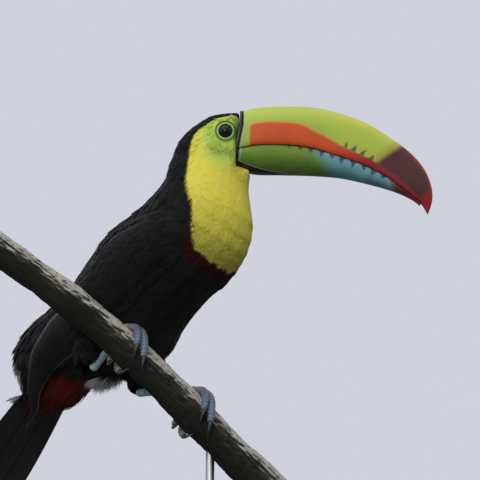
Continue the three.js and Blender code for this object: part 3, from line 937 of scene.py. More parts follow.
@dataclass
class Markings:
    """Where each colour of the plumage lies, by place along the body and angle round it."""

    body: Body
    # place, angle from the middle of the underside
    yellow_edge: tuple = (
        (10.6, 0), (10.72, 26), (10.76, 43), (10.85, 55), (11.15, 66), (11.75, 79), (12.5, 95),
        (12.8, 107), (13.6, 117), (14.7, 121), (15.9, 125), (17, 130), (17.8, 136), (18.6, 139),
        (19.6, 137), (20.6, 140), (22, 143),
    )
    red_band: float = 0.5  # width of the band under the bib, in rows

    def read(self, points: Array) -> dict[str, Array]:
        """The masks from 0 to 1 of the colours and of the painted shade, at points of the skin or where feathers
        rooted there end.
        """
        place, angle, _ = self.body.locate(points)
        edge_places, edge_angles = np.array(self.yellow_edge).T
        turn = np.abs(angle)
        edge = np.interp(place, edge_places, edge_angles, left=-40)
        yellow = smooth(-2, 2, edge - turn) * (place > 10.4)
        band_edge = np.interp(place + self.red_band, edge_places, edge_angles, left=-40)
        maroon = smooth(-2, 6, band_edge - turn) * (1 - yellow) * (place < 11.6) * smooth(95, 70, turn)
        # the last factor is painted shade: the red fades towards the tail, where the undertail lies in shadow
        red = smooth(4.7, 4.2, place + turn / 75) * smooth(70, 44, turn) * (1 - 0.55 * smooth(3.4, 1.8, place))
        return {
            "yellow": yellow, "maroon": maroon, "red": red,
            "white": smooth(2.6, 1.8, place) * smooth(92, 112, turn),
            "down": smooth(1.15, 0.85, np.hypot((place - 5.2) / 0.5, turn / 13)),
            # painted shade: darker towards the bottom of the bib and its underside
            "shade": smooth(13.5, 10.6, place) * smooth(150, 20, turn),
        }


# --- wings and tail


@dataclass
class FeatherSheet:
    """One large feather: a thin cambered vane laid on a surface, with a shaft."""

    rows: int = 30  # sections along it
    columns: int = 9
    thickness: float = 0.35

    def build(self, lay: Callable, blunt: float, tone: float, edge: float, worn: float) -> Solid:
        """Lays a feather on a surface.

        Args:
            lay: Gives points from the shares along and across (-1 to 1) and the lift off the surface.
            blunt: Share of the length at which the tip starts to round off.
            tone: A number of its own, for its shade.
            edge: How pale its edges are.
            worn: How worn and brown it is.

        Returns:
            Vertices, faces and marks.
        """
        along = np.linspace(0, 1, self.rows) ** 0.9
        past = np.clip((along - blunt) / (1 - blunt), 0, 1)
        width = np.sqrt(np.clip(along / 0.15, 0.12, 1)) * np.sqrt(np.maximum(1 - past**2, 0.003))
        across = np.linspace(-1, 1, self.columns)
        s, c = np.meshgrid(along, across, indexing="ij")
        camber = (1 - np.abs(c) ** 1.5) * 0.55
        shaft = np.exp(-((c / 0.09) ** 2)) * 0.3 * (1 - s)
        rim = 1 - np.abs(c) ** 6
        top = lay(s, c * width[:, None], camber + shaft)
        under = lay(s, c * width[:, None], camber - self.thickness * (0.15 + rim))
        points, faces = loft(np.concatenate([top, under[:, ::-1]], axis=1))
        u = np.concatenate([c, c[:, ::-1]], axis=1) * 0.5 + 0.5
        v = np.concatenate([s, s[:, ::-1]], axis=1)
        flat = np.stack([u, v, 0 * u], -1).reshape(-1, 3)
        marks = {"vane": np.concatenate([flat, [[0.5, 0, 0], [0.5, 1, 0]]])}
        marks |= {key: np.full(len(points), each) for key, each in dict(tone=tone, edge=edge, worn=worn).items()}
        return points, faces, marks


def join_parts(parts: Sequence[Solid]) -> Solid:
    """Joins meshes given as vertices, faces and marks into one."""
    points, faces = [], []
    start = 0
    for part_points, part_faces, _ in parts:
        points.append(part_points)
        faces += [tuple(index + start for index in face) for face in part_faces]
        start += len(part_points)
    marks = {key: np.concatenate([part[2][key] for part in parts]) for key in parts[0][2]}
    return np.concatenate(points), faces, marks


@dataclass
class Wing:
    """A folded wing: a blade that curls round the flank, covered with overlapping quills."""

    body: Body
    side: Side
    hug: float = 46.0  # radius to which the blade curls
    rows: tuple = (
        # place along the body, right wing's side and low offsets, left wing's, half height and thickness
        (11.8, 29, 4, 29, 4, 4, 1.5),
        (11.2, 34.5, 2, 34.5, 2, 13, 3.5),
        (10, 38.5, 0, 38.5, 0, 21.5, 5),
        (9, 39.5, 1, 39.5, 0, 24.5, 6),
        (8, 40, 1, 40, -2, 23, 6),
        (7.1, 40, -2, 40, -6, 20, 5.5),
        (6.3, 39, 1, 38, -12, 16.5, 5),
        (5.4, 36.5, 9, 33, -19, 14, 4.5),
        (3.8, 30.5, 16, 20, -28.5, 9, 4),
        (2.2, 27, 18, 14, -25.5, 6, 3.4),
        (0.6, 23.5, 21, 10, -18, 3.6, 2.2),
        (-1, 21, 23, 8, -13, 1.5, 0.8),
    )
    # root row and height, tip row and height, half width, of each visible quill from the inner one out
    quills: tuple = (
        (2.2, 0.55, 7.6, 0.72, 0.46),
        (2.6, 0.30, 8.3, 0.50, 0.46),
        (3.0, 0.05, 8.9, 0.34, 0.46),
        (3.4, -0.15, 9.5, 0.22, 0.46),
        (3.8, -0.32, 9.9, 0.10, 0.45),
        (4.3, -0.45, 10.3, 0.02, 0.45),
        (4.8, -0.52, 10.6, -0.06, 0.45),
        (5.4, -0.58, 10.85, -0.12, 0.42),
        (6.0, -0.62, 11.0, -0.2, 0.40),
    )

    def surface(self, row: Array, height: Array, lift: Array) -> Array:
        """Points on the outer face.

        Args:
            row: Row of the table, from the shoulder to the tip.
            height: Share of the half height, from the lower edge (-1) to the upper (1).
            lift: Millimetres off the blade's own face.
        """
        table = between(self.rows, np.clip(row, 0, len(self.rows) - 1))
        first = 1 if self.side is Side.RIGHT else 3
        out, low = table[..., first], table[..., first + 1]
        half_height, half_thick = table[..., 5], table[..., 6]
        middle, right, _, down, _, _ = self.body.read(table[..., 0])
        flank = right * self.side.value
        lean = np.arctan2(low, out)[..., None]
        outward = flank * np.cos(lean) + down * np.sin(lean)
        upward = flank * np.sin(lean) - down * np.cos(lean)
        rise = height * half_height
        bulge = half_thick * np.sqrt(np.clip(1 - height**2, 0, 1)) + lift - rise**2 / (2 * self.hug)
        return (
            middle
            + flank * out[..., None]
            + down * low[..., None]
            + outward * bulge[..., None]
            + upward * rise[..., None]
        )

    def pad(self) -> tuple[Array, list]:
        """The flesh of the wing, inside the blade by the depth of its feathers."""
        rows = np.linspace(0.3, 7.5, 26)
        shrink = 1.6 + 1.6 * smooth(4.5, 7.5, rows)
        heights = np.linspace(-0.86, 0.86, 13)
        grid_row, grid_height = np.meshgrid(rows, heights, indexing="ij")
        outer = self.surface(grid_row, grid_height, -shrink[:, None] + 0 * grid_height)
        inner = self.surface(grid_row, grid_height, -8.0 + 0 * grid_height)
        return loft(np.concatenate([outer, inner[:, ::-1]], axis=1))

    def feathers(self, sheet: FeatherSheet) -> Piece:
        """The quills, the inner ones over the outer."""
        parts = []
        last = len(self.quills) - 1
        for number, (root, root_height, tip, tip_height, half_width) in enumerate(self.quills):
            layer = -1.9 + 0.28 * (last - number)

            def lay(s: Array, c: Array, lift: Array) -> Array:
                """Lays this quill from its root to its tip."""
                row = root + (tip - root) * s
                bend = s**1.4
                height = root_height + (tip_height - root_height) * bend + c * half_width
                sunk = 4.2 * smooth(6.5, 4.9, row)
                return self.surface(row, np.clip(height, -1, 1), layer - sunk + lift + 0.25 * c)

            worn = 1.0 if number == last else 0.0
            edge = (0.1, 0.1, 0.1, 0.1, 0.15, 0.2, 0.3, 0.5, 1.0)[number]
            parts.append(sheet.build(lay, 0.86, number / last, edge, worn))
        return make_object(f"wing_feathers_{self.side.word}", *join_parts(parts))


@dataclass
class Tail:
    """The closed tail: ten broad feathers, the middle pair on top and the outer ones beneath."""

    root: tuple = (-66.5, 102, 169.6)
    length: float = 158.0
    root_width: float = 22.5
    extra_width: float = 12.0
    camber: float = 65.0
    half_feather: float = 15.5
    pairs: int = 5

    def surface(self, along: Array, out: Array, lift: Array) -> Array:
        """Points on the roofed fan: millimetres behind its root, right of its middle and off it."""
        right, ahead, down = TAIL_AXES
        drop = out**2 / (2 * self.camber) - lift
        middle = np.array(self.root) + PERCHED
        return middle - ahead * along[..., None] + right * out[..., None] + down * drop[..., None]

    def feathers(self, sheet: FeatherSheet) -> Piece:
        """The ten feathers, shorter pair by pair towards the outside."""
        parts = []
        buried = 10.0
        for pair in range(self.pairs - 1, -1, -1):
            for side in Side:
                length = self.length - 0.4 - 2.2 * pair**1.7
                spread = (pair + 0.42) / (self.pairs - 0.4)
                layer = 1.2 - 0.72 * pair + 0.18 * side.value

                def lay(s: Array, c: Array, lift: Array) -> Array:
                    """Lays this feather from under the coverts to its tip."""
                    along = (length + buried) * s - buried
                    share = np.clip(along / self.length, 0, 1)
                    fan = self.root_width + self.extra_width * np.sin(2 * share)
                    half = self.half_feather * (0.82 + 0.18 * share)
                    middle = side.value * spread * (fan - half)
                    return self.surface(along, middle + c * half, (layer + lift) * (1 - 0.45 * share))

                worn = 0.25 if pair < 3 else 0.5
                parts.append(sheet.build(lay, 0.88, (pair * 2 + side.value) / 10 + 0.3, 0.25, worn * 0.4))
        return make_object("tail_feathers", *join_parts(parts))


# --- bill and eyes


@dataclass
class Bill:
    """The bill's two halves, each between an outline and the line where they meet."""

    root: tuple = (75.55, -6, 323.4)
    # ahead of and above the gape corner
    culmen: tuple = (
        (0.3, 25), (12.5, 27.6), (29.5, 28.3), (49.5, 27.6), (68, 23.5), (86, 16.6),
        (104, 5), (116.4, -4.8), (125.2, -15.8), (129.5, -27), (130.1, -37), (127, -46.8),
    )
    gape: tuple = (
        (-2.5, -4.2), (12.4, -1.6), (27.4, -1.4), (43, -2.6), (57.5, -6), (74, -11.2),
        (85.7, -15.6), (98, -21.9), (108, -28.6), (116.4, -34.6), (122.4, -39.3), (126, -45.6),
    )
    keel: tuple = (
        (-4.3, -14.8), (9, -19), (27.4, -19.6), (49.3, -20.2), (67.8, -21.8),
        (85.6, -25.7), (104, -31.1), (115, -36.2), (121.5, -41),
    )
    half_width: tuple = (15, 15, 14.2, 13.2, 12, 10.4, 8.4, 5.6, 1.2)
    upper_section: tuple = (
        (0.01, 0.9), (0.06, 0.975), (0.2, 1), (0.42, 0.98), (0.62, 0.86), (0.78, 0.69), (0.9, 0.48),
        (0.97, 0.27), (1, 0.04),
    )
    lower_section: tuple = (
        (0.02, 0.96), (0.25, 0.97), (0.5, 0.9), (0.72, 0.74), (0.88, 0.52), (0.97, 0.28), (1, 0.04),
    )
    root_bulge: float = 1.3  # how far the upper half's root bows forward
    steps: int = 110
    around: int = 22

    def half(self, name: str, outer: tuple, meeting: tuple, section: tuple, share: float) -> Piece:
        """Builds one half, marked with the shares along it and of its depth.

        Args:
            name: The object's name.
            outer: Its outline away from the other half.
            meeting: The line where the halves meet.
            section: Half section from the meeting line (0) to the outline (1), with the width there.
            share: Its width against the upper half's.
        """
        along = np.linspace(0, 1, self.steps) ** 0.94
        outside, inside = Path(outer).at(along), Path(meeting).at(along)
        widths = between(np.array(self.half_width)[:, None], along * (len(self.half_width) - 1))[:, 0] * share
        depth, width = between(section, np.linspace(0, len(section) - 1, self.around)).T
        depth, width = np.clip(depth, 0, 1), np.maximum(width, 0.02)
        flat = inside[:, None] + (outside - inside)[:, None] * depth[:, None]
        upper = 1.0 if share == 1 else 0.0
        flat[..., 0] += upper * self.root_bulge * np.sin(math.pi * depth) * smooth(0.12, 0, along)[:, None]
        teeth = self.teeth(along)[:, None] * smooth(0.09, 0.0, depth) * upper
        side = widths[:, None] * width
        right = np.stack([flat[..., 0], -side, flat[..., 1] - teeth], -1)
        left = right * (1, -1, 1)
        rings = np.concatenate([right, left[:, ::-1]], axis=1) + np.array(self.root) + PERCHED
        points, faces = loft(rings)
        marks = {
            "along": np.concatenate([np.repeat(along, 2 * self.around), [0, 1]]),
            "depth": np.concatenate([np.tile(np.concatenate([depth, depth[::-1]]), self.steps), [0.5, 0.5]]),
        }
        return make_object(name, points, faces, marks)

    def from_root(self, points: Array) -> tuple[Array, Array]:
        """How far points lie ahead of and above the gape corner."""
        x, _, z = (points - self.root - PERCHED).T
        return x, z

    def inside(self, points: Array) -> Array:
        """How far points lie within the bill's side view, behind its outline and ahead of its root."""
        x, z = self.from_root(points)
        roots = np.array((self.keel[0], self.gape[0], self.culmen[0]))
        ahead = x - np.interp(z, roots[:, 1], roots[:, 0])
        above = z - np.interp(x, *np.array(self.keel).T)
        below = np.interp(x, *np.array(self.culmen[:8]).T) - z
        return np.minimum(ahead, np.minimum(above, below))

    @staticmethod
    def teeth(along: Array) -> Array:
        """Depth of the notched cutting edge at shares of its length."""
        wander = np.sin(along * 23.0) * 0.9 + np.sin(along * 61.0) * 0.5
        saw = (along * 34.0 + wander) % 1.0
        return 0.55 * saw**2 * smooth(0.08, 0.2, along) * smooth(0.97, 0.85, along)

    def build(self) -> list[Piece]:
        """The upper half, the lower half and the dark rim round the bill's root."""
        return [
            self.half("upper_bill", self.culmen, self.gape, self.upper_section, 1.0),
            self.half("lower_bill", self.keel, self.gape[:-1], self.lower_section, 0.94),
            self.rim(),
        ]

    def rim(self) -> Piece:
        """The band of dark skin round the bill's root, widest below the gape."""
        top, bottom = self.culmen[0][1], self.keel[0][1]
        middle_height, half_height = (top + bottom) / 2, (top - bottom) / 2
        angles = np.linspace(0, 2 * math.pi, 96, endpoint=False)
        power = 0.82
        out = np.sign(np.sin(angles)) * np.abs(np.sin(angles)) ** power * (self.half_width[0] - 0.2)
        up = middle_height + np.sign(np.cos(angles)) * np.abs(np.cos(angles)) ** power * (half_height - 0.7)
        width = 0.65 + 0.95 * smooth(22, 0, up)
        gape = self.gape[0][1]
        root = np.interp(up, (bottom, gape, top), (self.keel[0][0], self.gape[0][0], self.culmen[0][0]))
        root += self.root_bulge * np.sin(math.pi * np.clip((up - gape) / (top - gape), 0, 1))
        middles = np.stack([root - width * 0.5, -out, up], -1) + np.array(self.root) + PERCHED
        outward = unit(np.stack([0 * out, -out, (up - middle_height) * 0.6], -1)) * 0.75
        first = np.stack([width, 0 * width, 0 * width], -1)
        rings = round_rings(middles, first, outward * 0.9, 12)
        number = np.arange(rings.shape[0] * rings.shape[1]).reshape(rings.shape[:2])
        onward, beside = np.roll(number, -1, 0), np.roll(number, -1, 1)
        corners = (number, beside, np.roll(onward, -1, 1), onward)
        faces = np.stack(corners, -1).reshape(-1, 4).tolist()
        return make_object("bill_rim", rings.reshape(-1, 3), faces)


@dataclass
class EyeBall:
    """An eyeball, and the lids that the skin forms round it."""

    side: Side
    radius: float = 6.5
    opening: float = 4.35
    x: float = 65.2 + PERCHED[0]
    z: float = 330.8
    off_middle: float = 11.8

    @property
    def middle(self) -> Array:
        """The middle of the ball."""
        return np.array([self.x, HEAD_Y - self.side.value * self.off_middle, self.z])

    def build(self) -> Piece:
        """The ball, with the cornea's slight bulge."""
        rings, sides = 40, 48
        angle = np.linspace(0.02, math.pi - 0.02, rings)
        cornea = 0.35 * smooth(0.55, 0.0, angle)
        reach = self.radius + cornea - 0.05
        middles = self.middle + np.outer(reach * np.cos(angle), (0, -self.side.value, 0))
        points, faces = lathe(middles, reach * np.sin(angle), 2, sides)
        out = np.repeat(np.sin(angle) * np.where(angle < math.pi / 2, 1, 3), sides)
        return make_object(f"eyeball_{self.side.word}", points, faces, {"out": np.concatenate([out, [0, 3]])})

    def reach(self, points: Array) -> tuple[Array, Array]:
        """Distance of points from the eye's axis, and how far out along it they are."""
        offset = points - self.middle
        return np.hypot(offset[:, 0], offset[:, 2]), -offset[:, 1] * self.side.value

    def sculpt(self, points: Array) -> tuple[Array, Array]:
        """Forms the lids on the skin's vertices.

        Returns:
            The moved vertices, and each one's distance from the eye's axis on this side.
        """
        away, out = self.reach(points)
        near = (away < 16) & (out > 0)
        d = away[near]
        angle = np.arctan2(points[near, 2] - self.z, points[near, 0] - self.x)
        wobble = 0.05 * np.sin(angle * 17) + 0.04 * np.sin(angle * 29 + 1)
        lid = 2.0 + 2.95 * smooth(self.opening - 0.55, self.opening + 0.12, d)
        lid += 0.14 * np.exp(-(((d - 5.25) / 0.6) ** 2)) + wobble * smooth(4.4, 5.0, d)
        lid -= 0.38 * np.exp(-(((d - 6.05) / 0.3) ** 2))
        lid += 0.22 * np.exp(-(((d - 6.9) / 0.5) ** 2))
        lid -= 0.12 * np.exp(-(((d - 7.9) / 0.4) ** 2))
        keep = smooth(7.2, 14.0, d)
        target = lid * (1 - keep) + out[near] * keep
        moved = points.copy()
        moved[near, 1] = self.middle[1] - self.side.value * target
        distance = np.full(len(points), FAR)
        distance[near] = d
        return moved, distance


# --- skin and coat


@dataclass
class Skin:
    """One skin under the whole coat, from the flesh nodes of the frame and the wings' pads."""

    body: Body
    wings: Sequence[Wing]
    eyes: Sequence[EyeBall]
    bill: Bill
    shanks: Sequence[Path]
    nodes: tuple = ("head", "neck", "trunk", "thigh_right", "thigh_left")
    sockets: tuple = ("eye_right", "eye_left")
    voxel: float = 1.3
    # hip, knee and heel of each thigh, and how far its feathers reach
    thighs: tuple = (
        ((-18, 50, 214), (-24, 30, 202), (-26.5, 23, 173.8), 11.2),
        ((2, 66, 208), (9, 58, 186), (3.5, 46, 160), 14.5),
    )

    def gather(self) -> Piece:
        """Joins the flesh into one closed skin."""
        shell = bmesh.new()
        for node in self.nodes + self.sockets:
            shell.from_mesh(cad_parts[node].data)
        bmesh.ops.remove_doubles(shell, verts=shell.verts, dist=1e-6)
        shell.normal_update()
        grown = 0.7 * MM
        for vertex in shell.verts:
            vertex.co += vertex.normal * grown
        mesh = bpy.data.meshes.new("flesh")
        shell.to_mesh(mesh)
        shell.free()
        pads = [make_object("pad", *wing.pad()) for wing in self.wings]
        meshes = [mesh, *(pad.data for pad in pads)]
        parts = [(vertices(each), [face.vertices for face in each.polygons], {}) for each in meshes]
        points, faces, _ = join_parts(parts)
        for pad in pads:
            bpy.data.objects.remove(pad)
        raw = make_object("flesh", points, faces, outward=False)
        remesh = raw.modifiers.new("Remesh", "REMESH")
        remesh.mode = "VOXEL"
        remesh.voxel_size = self.voxel * MM
        soften = raw.modifiers.new("Smooth", "SMOOTH")
        soften.factor = 0.5
        soften.iterations = 26
        return settle(raw, "skin")

    def refine(self, mesh: Mesh) -> None:
        """Gives the eyes' surroundings a finer mesh."""
        shell = bmesh.new()
        shell.from_mesh(mesh)
        for reach in (13.0, 9.0):
            edges = set()
            for eye in self.eyes:
                middle = Vector((eye.middle * MM).tolist())
                for face in shell.faces:
                    centre = face.calc_center_median() - middle
                    outside = -centre.y * eye.side.value > 0
                    if outside and math.hypot(centre.x, centre.z) < reach * MM:
                        edges.update(face.edges)
            bmesh.ops.subdivide_edges(shell, edges=list(edges), cuts=1, use_grid_fill=True)
        bmesh.ops.triangulate(shell, faces=[face for face in shell.faces if len(face.verts) > 4])
        shell.to_mesh(mesh)
        shell.free()

    def lengths(self, place: Array, angle: Array) -> Array:
        """Length of the feathers, by place along the body and angle round it."""
        stops = (
            (0, 17), (4, 16), (7, 15), (9, 12.5), (10.5, 8), (12, 6), (14, 5.3), (16, 4.6), (18, 3.5),
            (20, 2.7), (22, 1.8),
        )
        places, values = np.array(stops).T
        length = np.interp(place, places, values)
        nape = np.interp(place, (9, 12, 14, 16, 18, 20), (13, 11, 9.5, 8, 6, 4.5))
        length = np.where(place > 9, length + (nape - length) * smooth(75, 125, np.abs(angle)), length)
        under = smooth(70, 40, np.abs(angle)) * smooth(4.6, 3.6, place)
        return length + 7 * under

    def dress(self, skin: Piece) -> None:
        """Sinks the smooth skin under its coat, forms the lids and stores what the coat needs."""
        self.refine(skin.data)
        mesh = skin.data
        points, facing = vertices(mesh), normals(mesh)
        place, angle, _ = self.body.locate(points)
        length = self.lengths(place, angle)
        wing_row, wing_side, wing_lie = self.near_wing(points)
        on_wing = wing_side != 0
        length = np.where(on_wing, 8.0 + 0.9 * np.clip(wing_row, 0, 7), length)
        thigh_lie, on_thigh = self.near_thigh(points)
        length = np.where(on_thigh, 5.5, length)
        depth = np.where(on_wing, 0.6, 0.13 * length + 0.35)
        points = points - facing * depth[:, None]
        ring = np.full(len(points), FAR)
        for eye in self.eyes:
            points, distance = eye.sculpt(points)
            ring = np.minimum(ring, distance)
        points, in_bill, under_bill, chin = self.seat_bill(points)
        points = self.even_out(mesh, points, under_bill)
        points, shank_gap = self.clear_shanks(points)
        mesh.vertices.foreach_set("co", (points * MM).ravel())
        mesh.update()
        facing = normals(mesh)
        row = np.clip(np.round(place * 8).astype(int), 0, len(self.body.places) - 1)
        lie = -self.body.ahead[row]
        lie = np.where(on_wing[:, None], wing_lie, lie)
        lie = np.where(on_thigh[:, None], thigh_lie, lie)
        lie = unit(lie - facing * (lie * facing).sum(-1, keepdims=True))
        masks = Markings(self.body).read(points + lie * 0.7 * length[:, None])
        own = Markings(self.body).read(points)
        masks.update(yellow=own["yellow"], maroon=own["maroon"], white=np.maximum(masks["white"], own["down"]))
        del masks["down"]
        for key in ("yellow", "red", "maroon", "white", "shade"):
            masks[key] = np.where(on_wing | on_thigh, 0, masks[key])
        face_x, face_z = points[:, 0] - self.eyes[0].x, points[:, 2] - self.eyes[0].z
        lime = smooth(1.4, 0.6, np.hypot(face_x / 16, (face_z + 3.5) / 20))
        # green is painted shade: darker round the eye's lower front and in a patch below the eye
        low_front = (face_x - face_z) / (1.42 * np.maximum(np.hypot(face_x, face_z), 1))
        green = smooth(12, 7, ring) * (0.45 + 0.45 * low_front)
        green = np.maximum(green, 0.55 * smooth(1.3, 0.3, np.hypot((face_x + 1) / 12, (face_z + 11) / 8)))
        bare = smooth(1.0, 0.6, np.hypot((face_x - 6.5) / 13, (face_z + 2.5) / 12))
        end_cap = smooth(0.45, 0.75, -(facing * self.body.ahead[row]).sum(-1)) * (place < 1.5)
        cover = (1 - bare) * smooth(7.8, 10.5, ring) * smooth(-0.8, -2.2, in_bill)
        brow = smooth(20.9, 21.4, place) * smooth(140, 155, np.abs(angle))
        cover *= smooth(6.5, 8.5, shank_gap)
        cover *= (1 - end_cap) * (1 - chin) * (1 - brow)
        # painted shade: the bare end cap at the tail's root stays black, not red, as shadow in the gap
        masks["red"] = masks["red"] * (1 - end_cap)
        turn = np.radians(angle)
        unwrap = np.stack([np.cos(turn), np.sin(turn), place / self.body.last], -1)
        marks = {
            **masks, "lime": lime, "green": green, "eye_ring": ring, "length": length * MM,
            "cover": cover, "lie": lie, "unwrap": unwrap, "vane": np.zeros((len(points), 3)),
            "tone": np.full(len(points), 0.2),
        }
        for key, values in marks.items():
            store(mesh, key, values)
        self.zone(mesh, place, angle, wing_side * on_wing, wing_row, on_thigh)
        mesh.shade_smooth()

    @staticmethod
    def even_out(mesh: Mesh, points: Array, weight: Array, rounds: int = 40) -> Array:
        """Moves a mesh's vertices towards the middle of their neighbours, each as far as its weight."""
        ends = np.array([edge.vertices[:] for edge in mesh.edges])
        count = np.bincount(ends.ravel(), minlength=len(points))[:, None]
        for _ in range(rounds):
            total = np.zeros_like(points)
            np.add.at(total, ends[:, 0], points[ends[:, 1]])
            np.add.at(total, ends[:, 1], points[ends[:, 0]])
            points = points + 0.5 * weight[:, None] * (total / count - points)
        return points

    def seat_bill(self, points: Array) -> tuple[Array, Array, Array, Array]:
        """Tucks the skin into the bill's root and narrows the chin under the bill.

        Returns:
            The moved vertices, how far each lies within the bill's side view, where the chin is and
            where its foremost part is.
        """
        in_bill = self.bill.inside(points)
        seat, chin, slope = 5.0, 7.0, 1.3
        from_middle = points[:, 1] - HEAD_Y
        x, z = self.bill.from_root(points)
        drop = np.maximum(np.interp(x, *np.array(self.bill.keel).T) - z, 0)
        allowed = chin + slope * drop
        narrow = smooth(-5.5, 0.5, x) * smooth(9, 4, drop)
        chinned = np.clip(from_middle, -allowed, allowed)
        from_middle = from_middle * (1 - narrow) + chinned * narrow
        tucked = smooth(-0.3, 1.0, in_bill)
        from_middle = from_middle * (1 - tucked) + np.clip(from_middle, -seat, seat) * tucked
        moved = points.copy()
        moved[:, 1] = HEAD_Y + from_middle
        chin_mask = smooth(-11, -5, x) * smooth(18, 9, drop) * smooth(0.2, 1.5, drop)
        return moved, in_bill, chin_mask, smooth(3.5, 5.5, x) * smooth(7, 5, drop)

    def clear_shanks(self, points: Array) -> tuple[Array, Array]:
        """Presses the skin in behind each tarsus.

        Returns:
            The moved vertices, and each one's distance from the nearer tarsus.
        """
        room = 4.0
        booted = (0.16, 0.84)  # share of the right and the left tarsus that the thigh's feathers cover
        gap = np.full(len(points), FAR)
        moved = points.copy()
        for shank, covered in zip(self.shanks, booted):
            samples = shank.at(np.linspace(covered, 1, 25))
            offsets = moved[:, None] - samples
            nearest = np.linalg.norm(offsets, axis=-1).argmin(1)
            offset = offsets[np.arange(len(points)), nearest]
            gap = np.minimum(gap, np.linalg.norm(offset, axis=-1))
            middle = shank.at(0.5)
            place, _, _ = self.body.locate(middle[None])
            inward = self.body.read(place)[0][0] - middle
            along = shank.ahead(0.5)
            inward = unit(inward - along * (inward @ along))
            deep = offset @ inward
            beside = np.linalg.norm(offset - np.outer(deep, inward), axis=1)
            wanted = np.sqrt(np.maximum(room**2 - beside**2, 0))
            push = np.where(beside < room, np.maximum(wanted - deep, 0), 0) * (deep > -9)
            moved += np.outer(push, inward)
        return moved, gap

    def near_wing(self, points: Array) -> tuple[Array, Array, Array]:
        """The wing that each point lies on.

        Returns:
            The wing's row, its side (0 for none) and the way its feathers lie.
        """
        row, side = np.zeros(len(points)), np.zeros(len(points))
        lie = np.zeros((len(points), 3))
        reach = 2.6
        for wing in self.wings:
            rows, heights = (g.ravel() for g in np.meshgrid(np.linspace(0.2, 8, 90), np.linspace(-1, 1, 21)))
            samples = wing.surface(rows, heights, np.full(len(rows), -1.6))
            further = wing.surface(rows + 0.3, heights, np.full(len(rows), -1.6))
            tree = kdtree.KDTree(len(samples))
            for index, sample in enumerate(samples):
                tree.insert(sample, index)
            tree.balance()
            for index, point in enumerate(points):
                _, nearest, distance = tree.find(point)
                if distance < reach:
                    row[index], side[index] = rows[nearest], wing.side.value
                    lie[index] = further[nearest] - samples[nearest]
        return row, side, lie

    def near_thigh(self, points: Array) -> tuple[Array, Array]:
        """The way feathers lie on the thighs, and which points lie on them."""
        lie = np.zeros((len(points), 3))
        on_thigh = np.zeros(len(points), bool)
        for hip, knee, heel, reach in self.thighs:
            line = Path(np.array((hip, knee, heel)) + PERCHED)
            samples = line.at(np.linspace(0.45, 1, 30))
            gaps = np.linalg.norm(points[:, None] - samples, axis=-1)
            nearest = gaps.argmin(1)
            close = gaps.min(1) < reach
            lie[close] = line.ahead(np.linspace(0.45, 1, 30))[nearest[close]]
            on_thigh |= close
        return lie, on_thigh

    def zone(self, mesh: Mesh, place: Array, angle: Array, side: Array, row: Array, thigh: Array) -> None:
        """Stores the coat zone of each face.

        Args:
            mesh: The skin.
            place: Place of each vertex along the body.
            angle: Its angle round from the underside.
            side: The wing it is on, or 0.
            row: Its row on that wing.
            thigh: Whether it is on a thigh.
        """
        turn = np.abs(angle)
        rules = (
            ((side != 0) & (row > 5.6), Zone.BARE),
            (side > 0, Zone.COVERTS_RIGHT),
            (side < 0, Zone.COVERTS_LEFT),
            (thigh, Zone.THIGHS),
            ((np.abs(place - 5.2) < 0.45) & (turn < 12), Zone.DOWN),
            ((place < 4.7) & (turn < 100), Zone.VENT),
            ((place < 9.8) & (turn < 95), Zone.BELLY),
            (place < 12.3 - 1.2 * (turn < 90), Zone.BACK),
            ((place < 12.6) & (turn < 60), Zone.BREAST),
            ((place > 18.4) & (turn < 125), Zone.FACE),
            ((place > 14.7) & (turn < 118), Zone.THROAT),
            (turn < 118, Zone.BIB),
        )
        zone = np.select([rule for rule, _ in rules], [named.value for _, named in rules], Zone.CAP.value)
        layer = mesh.attributes.new("zone", "INT", "FACE")
        layer.data.foreach_set("value", [int(zone[face.vertices[0]]) for face in mesh.polygons])


@dataclass(frozen=True)
class Tuft:
    """A small feather: a fan of slender closed blades, one unit long, rooted at the origin."""

    blades: int
    spread: float  # half angle of the fan, degrees
    width: float  # half width of a blade, as a share of the length
    ridge: float  # height of a blade's ridge
    droop: float  # how far the tip bends down to the skin
    ragged: float  # how much shorter a blade may be
    seed: int

    def build(self) -> Piece:
        """The tuft as a mesh along +Y, with +Z away from the skin."""
        draw = np.random.default_rng(self.seed)
        stations = np.array([0.0, 0.38, 0.76])
        swell = np.array([0.55, 1.0, 0.72])
        points, faces, vane = [], [], []
        for blade in range(self.blades):
            fan = 2 * (blade + 0.5) / self.blades - 1
            lean = math.radians(self.spread) * (fan + draw.uniform(-0.25, 0.25))
            reach = 1 - 0.18 * fan**2 - draw.uniform(0, self.ragged)
            lift = draw.uniform(0, 0.05)
            base = len(points)
            for v, wide in (*zip(stations, swell), (1.0, 0.0)):
                y = v * reach * math.cos(lean * v)
                x = math.sin(lean) * (v + 0.25 * math.sin(math.pi * v)) * reach
                z = lift * v - self.droop * v * v - 0.5 * x * x
                half = self.width * wide
                if v == 1.0:
                    points.append((x, y, z))
                    vane.append(((blade + 0.5) / self.blades, 1, 0))
                    continue
                points += [(x - half, y, z), (x, y + 0.02, z + self.ridge * wide), (x + half, y, z)]
                for share in (0.05, 0.5, 0.95):
                    vane.append(((blade + share) / self.blades, v * 0.97 + 0.02 * (share == 0.5), 0))
            for step in range(len(stations) - 1):
                a, b = base + 3 * step, base + 3 * step + 3
                faces += [(a, a + 1, b + 1, b), (a + 1, a + 2, b + 2, b + 1), (a + 2, a, b, b + 2)]
            last = base + 3 * (len(stations) - 1)
            tip = last + 3
            faces += [(last, last + 1, tip), (last + 1, last + 2, tip), (last + 2, last, tip)]
            faces.append((base, base + 2, base + 1))
        return make_object(f"tuft_{self.seed}", np.array(points) / MM, faces, {"vane": vane})


